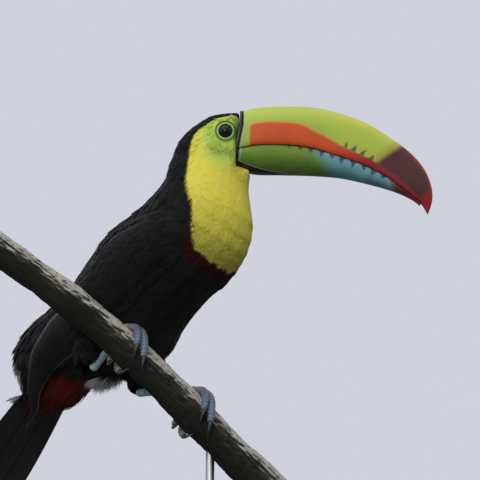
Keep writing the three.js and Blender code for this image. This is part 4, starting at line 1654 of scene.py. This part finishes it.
@dataclass(frozen=True)
class Sowing:
    """How one zone of the coat is sown."""

    zone: Zone
    spacing: float  # millimetres between roots
    lift: float  # degrees off the skin
    stray: float  # degrees that a tuft may turn aside
    tuft: Tuft
    slot: str = "black_feathers"
    softness: float = 0.65  # how much a feather takes the skin's own facing in the light


@dataclass
class Coat:
    """Sows small feathers over the skin, one piece for each zone."""

    skin: Piece  # with its zones, lie and lengths stored
    markings: Markings
    material: bpy.types.Material
    parted: tuple = (Zone.FACE, Zone.THROAT, Zone.BIB, Zone.CAP, Zone.BREAST, Zone.BACK)  # at the bib's border
    tree: bpy.types.NodeTree = field(init=False)

    def __post_init__(self) -> None:
        """Builds the tree."""
        self.tree = self.plan()

    def plan(self) -> bpy.types.NodeTree:
        """Builds the tree that sows tufts on a zone."""
        bench, given = open_tree("Sow feathers", {
            "Geometry": "Geometry", "Zone": "Int", "Spacing": "Float", "Lift": "Float", "Stray": "Float",
            "Softness": "Float", "Seed": "Int", "Tuft A": "Object", "Tuft B": "Object", "Tuft C": "Object",
            "Finish": "Material",
        })
        wire, stored, seed = bench.wire, bench.stored, given["Seed"]

        def chance(low: float, high: float, salt: int, kind: str = "FLOAT") -> Wire:
            """A random number for each tuft."""
            sockets = {"Min": low, "Max": high, "Seed": seed + salt}
            return wire("FunctionNodeRandomValue", sockets, data_type=kind)

        sockets = {"A": stored("zone", "INT"), "B": given["Zone"]}
        chosen = wire("FunctionNodeCompare", sockets, data_type="INT", operation="EQUAL")
        sockets = {
            "Mesh": given["Geometry"], "Selection": chosen, "Distance Min": given["Spacing"],
            "Density Max": given["Spacing"] ** -2.0 * 3.0, "Density Factor": stored("cover"), "Seed": seed,
        }
        sown = bench.node("GeometryNodeDistributePointsOnFaces", sockets, distribute_method="POISSON")
        roots, normal = (Wire(bench, sown.outputs[key]) for key in ("Points", "Normal"))
        align = "FunctionNodeAlignRotationToVector"
        upright = wire(align, {"Vector": normal}, axis="Z")
        sockets = {"Rotation": upright, "Vector": bench.arrow("lie")}
        laid = wire(align, sockets, axis="Y", pivot_axis="Z")
        turn = bench.join(given["Lift"] * chance(0.6, 1.4, 1), 0.0, given["Stray"] * chance(-1.0, 1.0, 2))
        sockets = {"Rotation": laid, "Rotate By": wire("FunctionNodeEulerToRotation", {"Euler": turn})}
        laid = wire("FunctionNodeRotateRotation", sockets, rotation_space="LOCAL")
        size = stored("length") * chance(0.82, 1.15, 3)
        roots = bench.keep(roots, "tone", chance(0.0, 1.0, 4))
        roots = bench.keep(roots, "ground", normal, "FLOAT_VECTOR")
        joined = bench.node("GeometryNodeJoinGeometry")
        for name in ("Tuft C", "Tuft B", "Tuft A"):
            info = bench.node("GeometryNodeObjectInfo", {"Object": given[name], "As Instance": True})
            bench.tree.links.new(info.outputs["Geometry"], joined.inputs[0])
        tufts = wire("GeometryNodeInstanceOnPoints", {
            "Points": roots, "Instance": Wire(bench, joined.outputs[0]), "Pick Instance": True,
            "Instance Index": chance(0, 2, 5, "INT"), "Rotation": laid, "Scale": bench.join(size, size, size),
        })
        solid = wire("GeometryNodeRealizeInstances", {"Geometry": tufts})
        unwrap, vane = bench.arrow("unwrap"), bench.arrow("vane")
        patch = 0.003
        around = bench.math("ARCTAN2", unwrap.part(1), unwrap.part(0)) / (2 * math.pi) + 0.5
        u = around * 0.98 + 0.01 + (vane.part(0) - 0.5) * patch
        v = unwrap.part(2) * 0.98 + 0.01 + (vane.part(1) - 0.5) * patch
        mapped = bench.keep(solid, "OFBake", bench.join(u, v, 0.0), "FLOAT2", "CORNER")
        smooth_faces = wire("GeometryNodeSetShadeSmooth", {"Geometry": mapped})
        own = Arrow(bench, bench.node("GeometryNodeInputNormal").outputs[0])
        share = bench.join(*[given["Softness"]] * 3)
        rest = bench.vector("SUBTRACT", (1.0, 1.0, 1.0), share)
        soft = bench.vector("MULTIPLY", bench.arrow("ground"), share) + bench.vector("MULTIPLY", own, rest)
        sockets = {"Mesh": smooth_faces, "Custom Normal": bench.vector("NORMALIZE", soft)}
        combed = wire("GeometryNodeSetMeshNormal", sockets, mode="FREE", domain="POINT")
        return close_tree(bench, combed, given["Finish"])

    def sow(self, plan: Sowing) -> Piece:
        """Sows one zone and returns its feathers as one plain mesh."""
        name = f"feathers_{plan.zone.name.lower()}"
        forms = [replace(plan.tuft, seed=plan.tuft.seed + each).build() for each in range(3)]
        values = {
            "Zone": plan.zone.value, "Spacing": plan.spacing * MM, "Lift": math.radians(plan.lift),
            "Stray": math.radians(plan.stray), "Softness": plan.softness, "Seed": plan.tuft.seed,
            "Tuft A": forms[0], "Tuft B": forms[1], "Tuft C": forms[2], "Finish": self.material,
        }
        made = run_tree(add_object(name, self.skin.data), self.tree, values, name)
        for form in forms:
            bpy.data.objects.remove(form)
        if plan.zone in self.parted:
            masks = self.markings.read(vertices(made.data))
            for key in ("yellow", "maroon"):
                made.data.attributes[key].data.foreach_set("value", masks[key].astype(np.float32))
        return made


# --- branch, legs and stand


@dataclass
class Branch:
    """The perch: a cut length of branch with rough bark."""

    line: tuple = (
        (-98, 0, 260), (-53.5, 0, 228), (-21.6, 0, 203.2), (7.7, 0, 177),
        (33.2, 0, 152.4), (55.3, 0, 130.4), (75, 0, 110.5), (116, 0, 72),
    )
    radii: tuple = (10.4, 12.4)
    swell: float = 0.4
    waves: int = 5
    path: Path = field(init=False)

    def __post_init__(self) -> None:
        """Measures the middle line."""
        self.path = Path(np.array(self.line) + PERCHED)

    def radius(self, share: Array) -> Array:
        """The bark's mean radius at shares of the length."""
        low, high = self.radii
        return low + (high - low) * share + self.swell * np.sin(2 * math.pi * self.waves * share)

    def tree(self) -> bpy.types.NodeTree:
        """Builds the tree that grows bark along a curve."""
        bench, given = open_tree("Grow bark", {
            "Geometry": "Geometry", "Steps": "Int", "Sides": "Int", "Relief": "Float", "Finish": "Material",
        })
        wire = bench.wire
        curve = wire("GeometryNodeResampleCurve", {"Curve": given["Geometry"], "Count": given["Steps"]})
        share = Wire(bench, bench.node("GeometryNodeSplineParameter").outputs["Factor"])
        ring = wire("GeometryNodeCurvePrimitiveCircle", {"Resolution": given["Sides"], "Radius": 1.0})
        bark = wire("GeometryNodeCurveToMesh", {
            "Curve": bench.keep(curve, "share", share), "Profile Curve": bench.keep(ring, "turn", share),
            "Scale": wire("GeometryNodeInputRadius"), "Fill Caps": True,
        })
        turn = bench.stored("turn") * (2 * math.pi)
        length = bench.stored("share") * 13.0
        wrap = bench.join(turn.wave(), (turn + math.pi / 2).wave(), length)
        knots = bench.noise(wrap * (0.7, 0.7, 0.55), 1.2, 2)
        plates = bench.noise(wrap * (1, 1, 0.6), 3.6, 6, 0.62)
        cracks = bench.cells(wrap * (1.8, 1.8, 0.55), 2.2, "DISTANCE_TO_EDGE")
        relief = (knots - 0.5) * 2.4 + (plates - 0.5) * 2.6 + cracks.step(0.0, 0.16) * 0.5 - 0.3
        ends = (bench.stored("share").step(low, high) for low, high in ((0.004, 0.0), (0.996, 1.0)))
        relief = relief * (1 - bench.math("MAXIMUM", *ends))
        normal = Arrow(bench, bench.node("GeometryNodeInputNormal").outputs[0])
        sockets = {0: normal, "Scale": relief * given["Relief"]}
        shift = wire("ShaderNodeVectorMath", sockets, operation="SCALE")
        grown = wire("GeometryNodeSetPosition", {"Geometry": bark, "Offset": shift})
        grown = bench.keep(bench.keep(grown, "relief", relief), "bark", wrap, "FLOAT_VECTOR")
        smooth_faces = wire("GeometryNodeSetShadeSmooth", {"Geometry": grown})
        solid = wire("GeometryNodeRealizeInstances", {"Geometry": smooth_faces})
        return close_tree(bench, solid, given["Finish"])

    def build(self, material: bpy.types.Material) -> Piece:
        """Grows the bark along the middle line and marks its sawn faces."""
        data = bpy.data.curves.new("branch line", "CURVE")
        data.dimensions = "3D"
        shares = np.linspace(0, 1, 60)
        spline = data.splines.new("POLY")
        spline.points.add(len(shares) - 1)
        spline.points.foreach_set("co", np.c_[self.path.at(shares) * MM, np.ones(60)].ravel())
        spline.points.foreach_set("radius", self.radius(shares) * MM)
        values = {"Steps": 300, "Sides": 84, "Relief": 0.8 * MM, "Finish": material}
        grown = run_tree(add_object("branch line", data), self.tree(), values, "branch")
        layer = grown.data.attributes.new("cut", "FLOAT", "FACE")
        layer.data.foreach_set("value", [float(len(face.vertices) > 4) for face in grown.data.polygons])
        return grown


@dataclass
class Leg:
    """One leg: the tarsus, four toes that grip the branch and their claws."""

    branch: Branch
    side: Side
    grip: tuple
    heel: tuple
    # start and end angle round the branch, shifts along it, radius, number of plates
    toes: tuple = (
        (-54, -168, -4, 4, 2.5, 11),
        (-40, 66, -3, 12, 2.8, 12),
        (-40, 78, -1, 21, 3.0, 14),
        (-54, -190, -2, 14, 2.7, 13),
    )
    ankle_angle: float = -46.0
    ankle_shift: float = -3.0
    ankle_radius: float = 4.0

    def __post_init__(self) -> None:
        """Finds the grip on the branch."""
        shares = np.linspace(0, 1, 2001)
        target = np.array((self.grip[0], 0, self.grip[1])) + PERCHED
        line = self.branch.path.at(shares)
        self.share = shares[np.linalg.norm(line - target, axis=1).argmin()]
        self.middle = self.branch.path.at(self.share)
        self.along = self.branch.path.ahead(self.share)
        self.top = unit(np.array((-self.along[2], 0, self.along[0])))
        self.near = np.array((0, -1.0, 0))
        self.bark = float(self.branch.radius(self.share)) + self.branch.swell

    def wind(self, angle: Array, shift: Array, distance: Array) -> Array:
        """Points round the branch.

        Args:
            angle: Degrees from its top towards the near side.
            shift: Millimetres down along it from the grip.
            distance: Millimetres from its middle line.
        """
        turn = np.radians(angle)[..., None]
        round_it = self.top * np.cos(turn) + self.near * np.sin(turn)
        return self.middle + self.along * shift[..., None] + round_it * distance[..., None]

    def line(self, angle: Array, shift: Array, distance: Array) -> tuple[Array, Array, Array]:
        """A middle line round the branch, with the ways off the bark and to the side along it."""
        middles = self.wind(angle, shift, distance)
        ahead = unit(np.gradient(middles, axis=0))
        outward = self.wind(angle, shift, distance + 9) - middles
        outward = unit(outward - ahead * (outward * ahead).sum(-1, keepdims=True))
        return middles, outward, np.cross(ahead, outward)

    def toe(self, start: float, end: float, low: float, high: float, radius: float, plates: int) -> Solid:
        """One toe: a tube with overlapping plates above and a padded sole."""
        t = np.linspace(-0.02, 1, 130)
        slim = radius * (1 - 0.18 * t)
        distance = self.bark + slim * 0.98 + 0.9 * (1 - t)
        middles, outward, side = self.line(start + (end - start) * t, low + (high - low) * t, distance)
        sides = 26
        up = np.cos(np.linspace(0, 2 * math.pi, sides, endpoint=False))
        phase = (t * plates) % 1.0
        step = 0.2 * (phase**1.6)[:, None] * smooth(-0.35, 0.35, up)
        pads = 0.22 * np.abs(np.sin(t * plates * 0.75))[:, None] * smooth(0.3, -0.5, up)
        blunt = np.sqrt(np.clip(1 - np.clip((t - 0.93) / 0.09, 0, 1) ** 2, 0.05, 1))[:, None]
        reach = (slim[:, None] * (0.9 + 0.12 * up**2) + step + pads) * blunt
        points, faces = loft(tube(middles, outward, side, reach))
        seam = (smooth(0.82, 1.0, phase) + smooth(0.12, 0.0, phase))[:, None] * smooth(-0.3, 0.2, up)
        sole = np.tile(smooth(0.1, -0.6, up), (len(t), 1))
        hind = 0.9 if end < start else 0.0
        pale = np.tile(np.maximum(smooth(0.55, 0.0, t), hind)[:, None], (1, sides))
        grids = {"seam": seam, "sole": sole, "pale": pale, "shank": 0 * pale}
        return points, faces, {key: np.concatenate([grid.ravel(), [0, 0]]) for key, grid in grids.items()}

    def ankle(self) -> Array:
        """The middle of the joint where the toes meet."""
        angle, shift = np.array(self.ankle_angle), np.array(self.ankle_shift)
        return self.wind(angle, shift, np.array(self.bark + self.ankle_radius))

    def foot(self) -> Piece:
        """The toes with the pad that they spring from."""
        parts = [self.toe(*toe) for toe in self.toes]
        angle = np.linspace(0.05, math.pi - 0.05, 18)
        middles = self.ankle() + np.outer(self.ankle_radius * np.cos(angle), self.near)
        points, faces = lathe(middles, self.ankle_radius * np.sin(angle), 2, 26)
        zero = np.zeros(len(points))
        parts.append((points, faces, {"seam": zero, "sole": zero, "pale": zero + 0.4, "shank": zero + 0.5}))
        return make_object(f"toes_{self.side.word}", *join_parts(parts))

    def shank_line(self) -> Path:
        """The middle line of the tarsus."""
        heel = np.array(self.heel) + PERCHED
        return Path(np.stack([heel, (heel + self.ankle()) / 2 + (0, 0, 0.6), self.ankle()]))

    def shank(self) -> Piece:
        """The scaled tarsus from the heel to the ankle."""
        line = self.shank_line()
        t = np.linspace(0, 1, 120)
        ahead = line.ahead(t)
        first = unit(np.cross(ahead, (0, 0, 1.0)))
        second = np.cross(first, ahead)
        sides, plates = 24, 11
        angle = np.linspace(0, 2 * math.pi, sides, endpoint=False)
        phase = (t * plates) % 1.0
        front = smooth(-0.4, 0.4, np.sin(angle + 0.6))
        step = 0.2 * (phase**1.8)[:, None] * front
        blunt = np.sqrt(np.clip(1 - np.clip(1 - t / 0.07, 0, 1) ** 2, 0.02, 1))[:, None]
        reach = ((2.7 + 0.7 * (2 * t - 1) ** 4)[:, None] * (1 + 0.1 * np.cos(2 * angle)) + step) * blunt
        points, faces = loft(tube(line.at(t), first, second, reach))
        seam = (smooth(0.85, 1.0, phase) + smooth(0.1, 0.0, phase))[:, None] * front
        flat = np.concatenate([seam.ravel(), [0, 0]])
        zero = np.zeros(len(points))
        marks = {"seam": flat * 0.8, "sole": zero, "pale": zero + 0.25, "shank": zero + 1}
        return make_object(f"shank_{self.side.word}", points, faces, marks)

    def claws(self) -> Piece:
        """The four curved claws."""
        parts = []
        for start, end, low, high, radius, _ in self.toes:
            turn = 1 if end > start else -1
            rise = (high - low) / abs(end - start)
            t = np.linspace(0, 1, 26)
            swing = -2 + 38 * t
            slim = 1.85 * (1 - 0.93 * t**1.25)
            tip_drop = (0.82 * radius + 0.1) * t**2
            distance = self.bark + 0.82 * radius + 0.75 + 0.9 * np.sin(math.pi * t) - tip_drop
            middles, outward, side = self.line(end + turn * swing, high + rise * swing, distance)
            rings = round_rings(middles, outward * (slim * 1.12)[:, None], side * (slim * 0.72)[:, None], 18)
            points, faces = loft(rings)
            parts.append((points, faces, {"tip": np.concatenate([np.repeat(t, 18), [0, 1]])}))
        return make_object(f"claws_{self.side.word}", *join_parts(parts))


@dataclass
class Stand:
    """The display stand: a turned round base and a short steel rod with a flange."""

    radius: float = 95.0
    height: float = 13.0
    edge: float = 3.0
    rod_x: float = 55.0
    rod_radius: float = 3.0
    rod_top: float = 125.0
    flange: float = 11.0
    flange_height: float = 4.0

    @staticmethod
    def turned(profile: Rows, x: float, y: float, sides: int) -> tuple[Array, list]:
        """Turns a profile of radius and height round an upright axis."""
        radii, heights = np.array(profile).T
        return lathe((x, y, 0) + np.outer(heights, (0, 0, 1)), radii, 1, sides)

    @staticmethod
    def arc(x: float, z: float, radius: float, start: float, end: float) -> list[tuple[float, float]]:
        """Points of an arc of a profile, between two angles in degrees."""
        angles = np.radians(np.linspace(start, end, 7))
        return [(x + radius * math.cos(a), z + radius * math.sin(a)) for a in angles]

    def base(self) -> Piece:
        """The round base with a bead and a soft top edge."""
        lip, bead = 1.0, self.edge
        profile = [(0.5, 0.0), (self.radius - 2, 0.0)]
        profile += self.arc(self.radius - lip, lip, lip, -90, 0)
        profile += [(self.radius, self.height - bead - 2.4), (self.radius - 1.0, self.height - bead - 1.6)]
        profile += self.arc(self.radius - bead - 1.0, self.height - bead, bead, 0, 90)
        profile += [(self.radius - 9, self.height), (self.radius - 40, self.height), (0.5, self.height)]
        return make_object("base", *self.turned(profile, 0, 0, 160))

    def rod(self) -> Piece:
        """The rod with its flange."""
        foot = self.height + 0.3
        rim = foot + self.flange_height
        profile = [(0.3, foot), (self.flange - 0.3, foot), (self.flange, foot + 0.3)]
        profile += self.arc(self.flange - 0.8, rim - 0.8, 0.8, 0, 90)
        profile += [(self.rod_radius + out, rim + up) for out, up in ((1.4, 0), (0.4, 0.4), (0, 1.2))]
        top = self.rod_top
        profile += [(self.rod_radius, top - 0.5), (self.rod_radius - 0.5, top), (0.2, top)]
        return make_object("rod", *self.turned(profile, self.rod_x + PERCHED[0], PERCHED[1], 48))

    def screws(self) -> Piece:
        """Three countersunk screw heads that hold the flange."""
        rim = self.height + 0.3 + self.flange_height
        profile = np.array(((1.7, -0.6), (1.7, 0.1), (1.35, 0.4), (0.6, 0.42), (0.55, 0.05), (0.1, 0.05)))
        parts = []
        for angle in np.radians((90, 210, 330)):
            x = self.rod_x + PERCHED[0] + 7.3 * math.cos(angle)
            y = PERCHED[1] + 7.3 * math.sin(angle)
            parts.append((*self.turned(profile + (0, rim), x, y, 24), {}))
        return make_object("flange_screws", *join_parts(parts))


# --- camera, light and ground


@dataclass
class Studio:
    """The camera, the soft light, the pale surroundings and the floor."""

    middle: tuple = (60.0, -22.0, 260.0)  # the point at the middle of the view
    distance: float = 1250.0
    elevation: float = 10.0  # degrees that the camera looks up
    half_view: float = 163.2  # half the width of the view at the middle

    def camera(self) -> None:
        """Places the camera below the bird, looking up at it."""
        tilt = math.radians(self.elevation)
        data = bpy.data.cameras.new("camera")
        data.angle = 2 * math.atan(self.half_view / self.distance)
        data.clip_start, data.clip_end = 0.05, 50
        camera = add_object("camera", data)
        back = Vector((0, -math.cos(tilt), -math.sin(tilt))) * self.distance * MM
        camera.location = Vector(self.middle) * MM + back
        camera.rotation_euler = (math.pi / 2 + tilt, 0, 0)
        bpy.context.scene.camera = camera

    def light(self) -> None:
        """A bright overcast sky with a large soft light above."""
        world = bpy.data.worlds.new("sky")
        world.use_nodes = True
        bench = Bench(world.node_tree)
        way = Arrow(bench, bench.node("ShaderNodeTexCoord").outputs["Generated"])
        open_sky = (way.part(2) + way.part(1) * 0.7).step(-0.35, 0.55)
        sky = bench.blend(open_sky, (0.42, 0.43, 0.45), (0.62, 0.64, 0.72))
        world.node_tree.links.new(sky.socket, world.node_tree.nodes["Background"].inputs["Color"])
        scene = bpy.context.scene
        scene.world = world
        scene.view_settings.view_transform = "Standard"
        for name, place, size, power in (
            ("overhead", (-0.3, -0.35, 1.5), 1.6, 7.0),
            ("front", (-0.4, -1.7, 0.8), 1.2, 14.0),
            ("behind", (-0.5, 1.5, 1.0), 1.2, 5.0),
        ):
            data = bpy.data.lights.new(name, "AREA")
            data.size = size
            data.energy = power
            lamp = add_object(name, data)
            lamp.location = place
            aim = Vector(self.middle) * MM - Vector(place)
            lamp.rotation_euler = aim.to_track_quat("-Z", "Y").to_euler()

    def floor(self) -> None:
        """The pale floor under the stand."""
        sides = 64
        angle = np.linspace(0, 2 * math.pi, sides, endpoint=False)
        ring = np.stack([np.cos(angle), np.sin(angle), 0 * angle], -1) * 4000 - (0, 0, 0.2)
        floor = make_object("floor", ring, [tuple(range(sides))], outward=False)
        greys = {"colour": (0.16, 0.165, 0.17), "second": (0.14, 0.145, 0.15)}
        floor.data.materials.append(Plain("grey floor", roughness=0.85, scale=2.0, **greys).make())


def main() -> None:
    """Builds the bird, its branch, its stand and the studio."""
    logging.basicConfig(level=logging.INFO, format="%(message)s")
    studio = Studio()
    studio.camera()
    studio.light()
    studio.floor()

    body = Body()
    wings = [Wing(body, side) for side in Side]
    eyes = [EyeBall(side) for side in Side]
    plumage = Plumage("plumage", roughness=0.7, specular=0.1, sheen=0.015).make()
    quill = Quill("flight feathers", roughness=0.6, specular=0.15, sheen=0.01, relief=0.00008).make()
    horn = {
        lower: Horn(f"bill horn {lower}", lower=lower, specular=0.3, relief=0.00006).make()
        for lower in (False, True)
    }
    black_skin = Plain("rim skin", 0.42, colour=(0.006, 0.006, 0.007), second=(0.012, 0.012, 0.013)).make()
    scales = Scale("leg scales", roughness=0.5, relief=0.0001).make()
    claw_horn = Plain("claw horn", 0.3, colour=(0.018, 0.018, 0.019), second=(0.05, 0.048, 0.045)).make()
    branch = Branch()
    legs = [
        Leg(branch, Side.RIGHT, (-8.4, 188.2), (-26.5, 23, 173.8)),
        Leg(branch, Side.LEFT, (38.3, 147.7), (3.5, 46, 160)),
    ]
    bill = Bill()
    builder = Skin(body, wings, eyes, bill, [leg.shank_line() for leg in legs])
    skin = builder.gather()
    builder.dress(skin)
    finish_piece(skin, "black_feathers", plumage, builder.nodes)

    fine = Tuft(5, 14, 0.075, 0.010, 0.08, 0.22, 11)
    soft = Tuft(6, 16, 0.075, 0.010, 0.09, 0.22, 21)
    broad = Tuft(7, 20, 0.09, 0.012, 0.11, 0.18, 31)
    loose = Tuft(8, 24, 0.028, 0.012, 0.05, 0.35, 41)
    downy = Tuft(9, 34, 0.012, 0.008, -0.05, 0.5, 51)
    coat = Coat(skin, Markings(body), plumage)
    for plan in (
        Sowing(Zone.FACE, 0.85, 2.5, 8, fine, "yellow_feathers", 0.9),
        Sowing(Zone.CAP, 1.4, 5, 7, soft),
        Sowing(Zone.THROAT, 0.95, 2, 6, soft, "yellow_feathers", 0.92),
        Sowing(Zone.BIB, 1.0, 2, 6, soft, "yellow_feathers", 0.92),
        Sowing(Zone.BREAST, 1.7, 3, 7, broad),
        Sowing(Zone.BELLY, 2.7, 6, 8, broad),
        Sowing(Zone.BACK, 2.7, 5, 6, broad),
        Sowing(Zone.VENT, 2.3, 6, 11, loose, "red_feathers"),
        Sowing(Zone.DOWN, 0.9, 34, 18, downy, "white_feathers"),
        Sowing(Zone.THIGHS, 1.3, 3, 8, soft),
        Sowing(Zone.COVERTS_RIGHT, 2.8, 4, 5, broad),
        Sowing(Zone.COVERTS_LEFT, 2.8, 4, 5, broad),
    ):
        finish_piece(coat.sow(plan), plan.slot)

    sheet = FeatherSheet()
    for wing in wings:
        finish_piece(wing.feathers(sheet), "black_feathers", quill, [f"wing_{wing.side.word}"])
    finish_piece(Tail().feathers(sheet), "black_feathers", quill, ["tail"])

    upper, lower, rim = bill.build()
    finish_piece(upper, "bill_horn", horn[False], ["bill_upper"])
    finish_piece(lower, "bill_horn", horn[True], ["bill_lower"])
    finish_piece(rim, "face_skin", black_skin)
    eye_finish = Eye("eye", roughness=0.05, specular=0.35).make()
    for eye in eyes:
        finish_piece(eye.build(), "eye", eye_finish, [f"eye_{eye.side.word}"])

    cuts = tuple(branch.path.at([0.0, 1.0]))
    bough = branch.build(Bark("bark", roughness=0.9, specular=0.2, relief=0.0004, ends=cuts).make())
    finish_piece(bough, "bark", None, ["perch"])
    for leg in legs:
        word = leg.side.word
        finish_piece(leg.foot(), "leg_scales", scales, [f"foot_{word}"])
        finish_piece(leg.shank(), "leg_scales", scales, [f"tarsus_{word}"])
        finish_piece(leg.claws(), "claw_horn", claw_horn, [f"claw_{word}_{each}" for each in (1, 2, 3, 4)])

    stand = Stand()
    stained = Wood("stained wood", roughness=0.35, coat=0.4).make()
    finish_piece(stand.base(), "base_wood", stained, ["stand_base"])
    steel = Plain(
        "brushed steel", roughness=0.32, metallic=1.0, colour=(0.56, 0.56, 0.55), second=(0.46, 0.46, 0.46),
        scale=900, stretch=(1, 1, 0.04), relief=0.00002,
    ).make()
    finish_piece(stand.rod(), "rod_steel", steel, ["stand_rod"])
    finish_piece(stand.screws(), "rod_steel", steel)


if __name__ == "__main__":
    main()
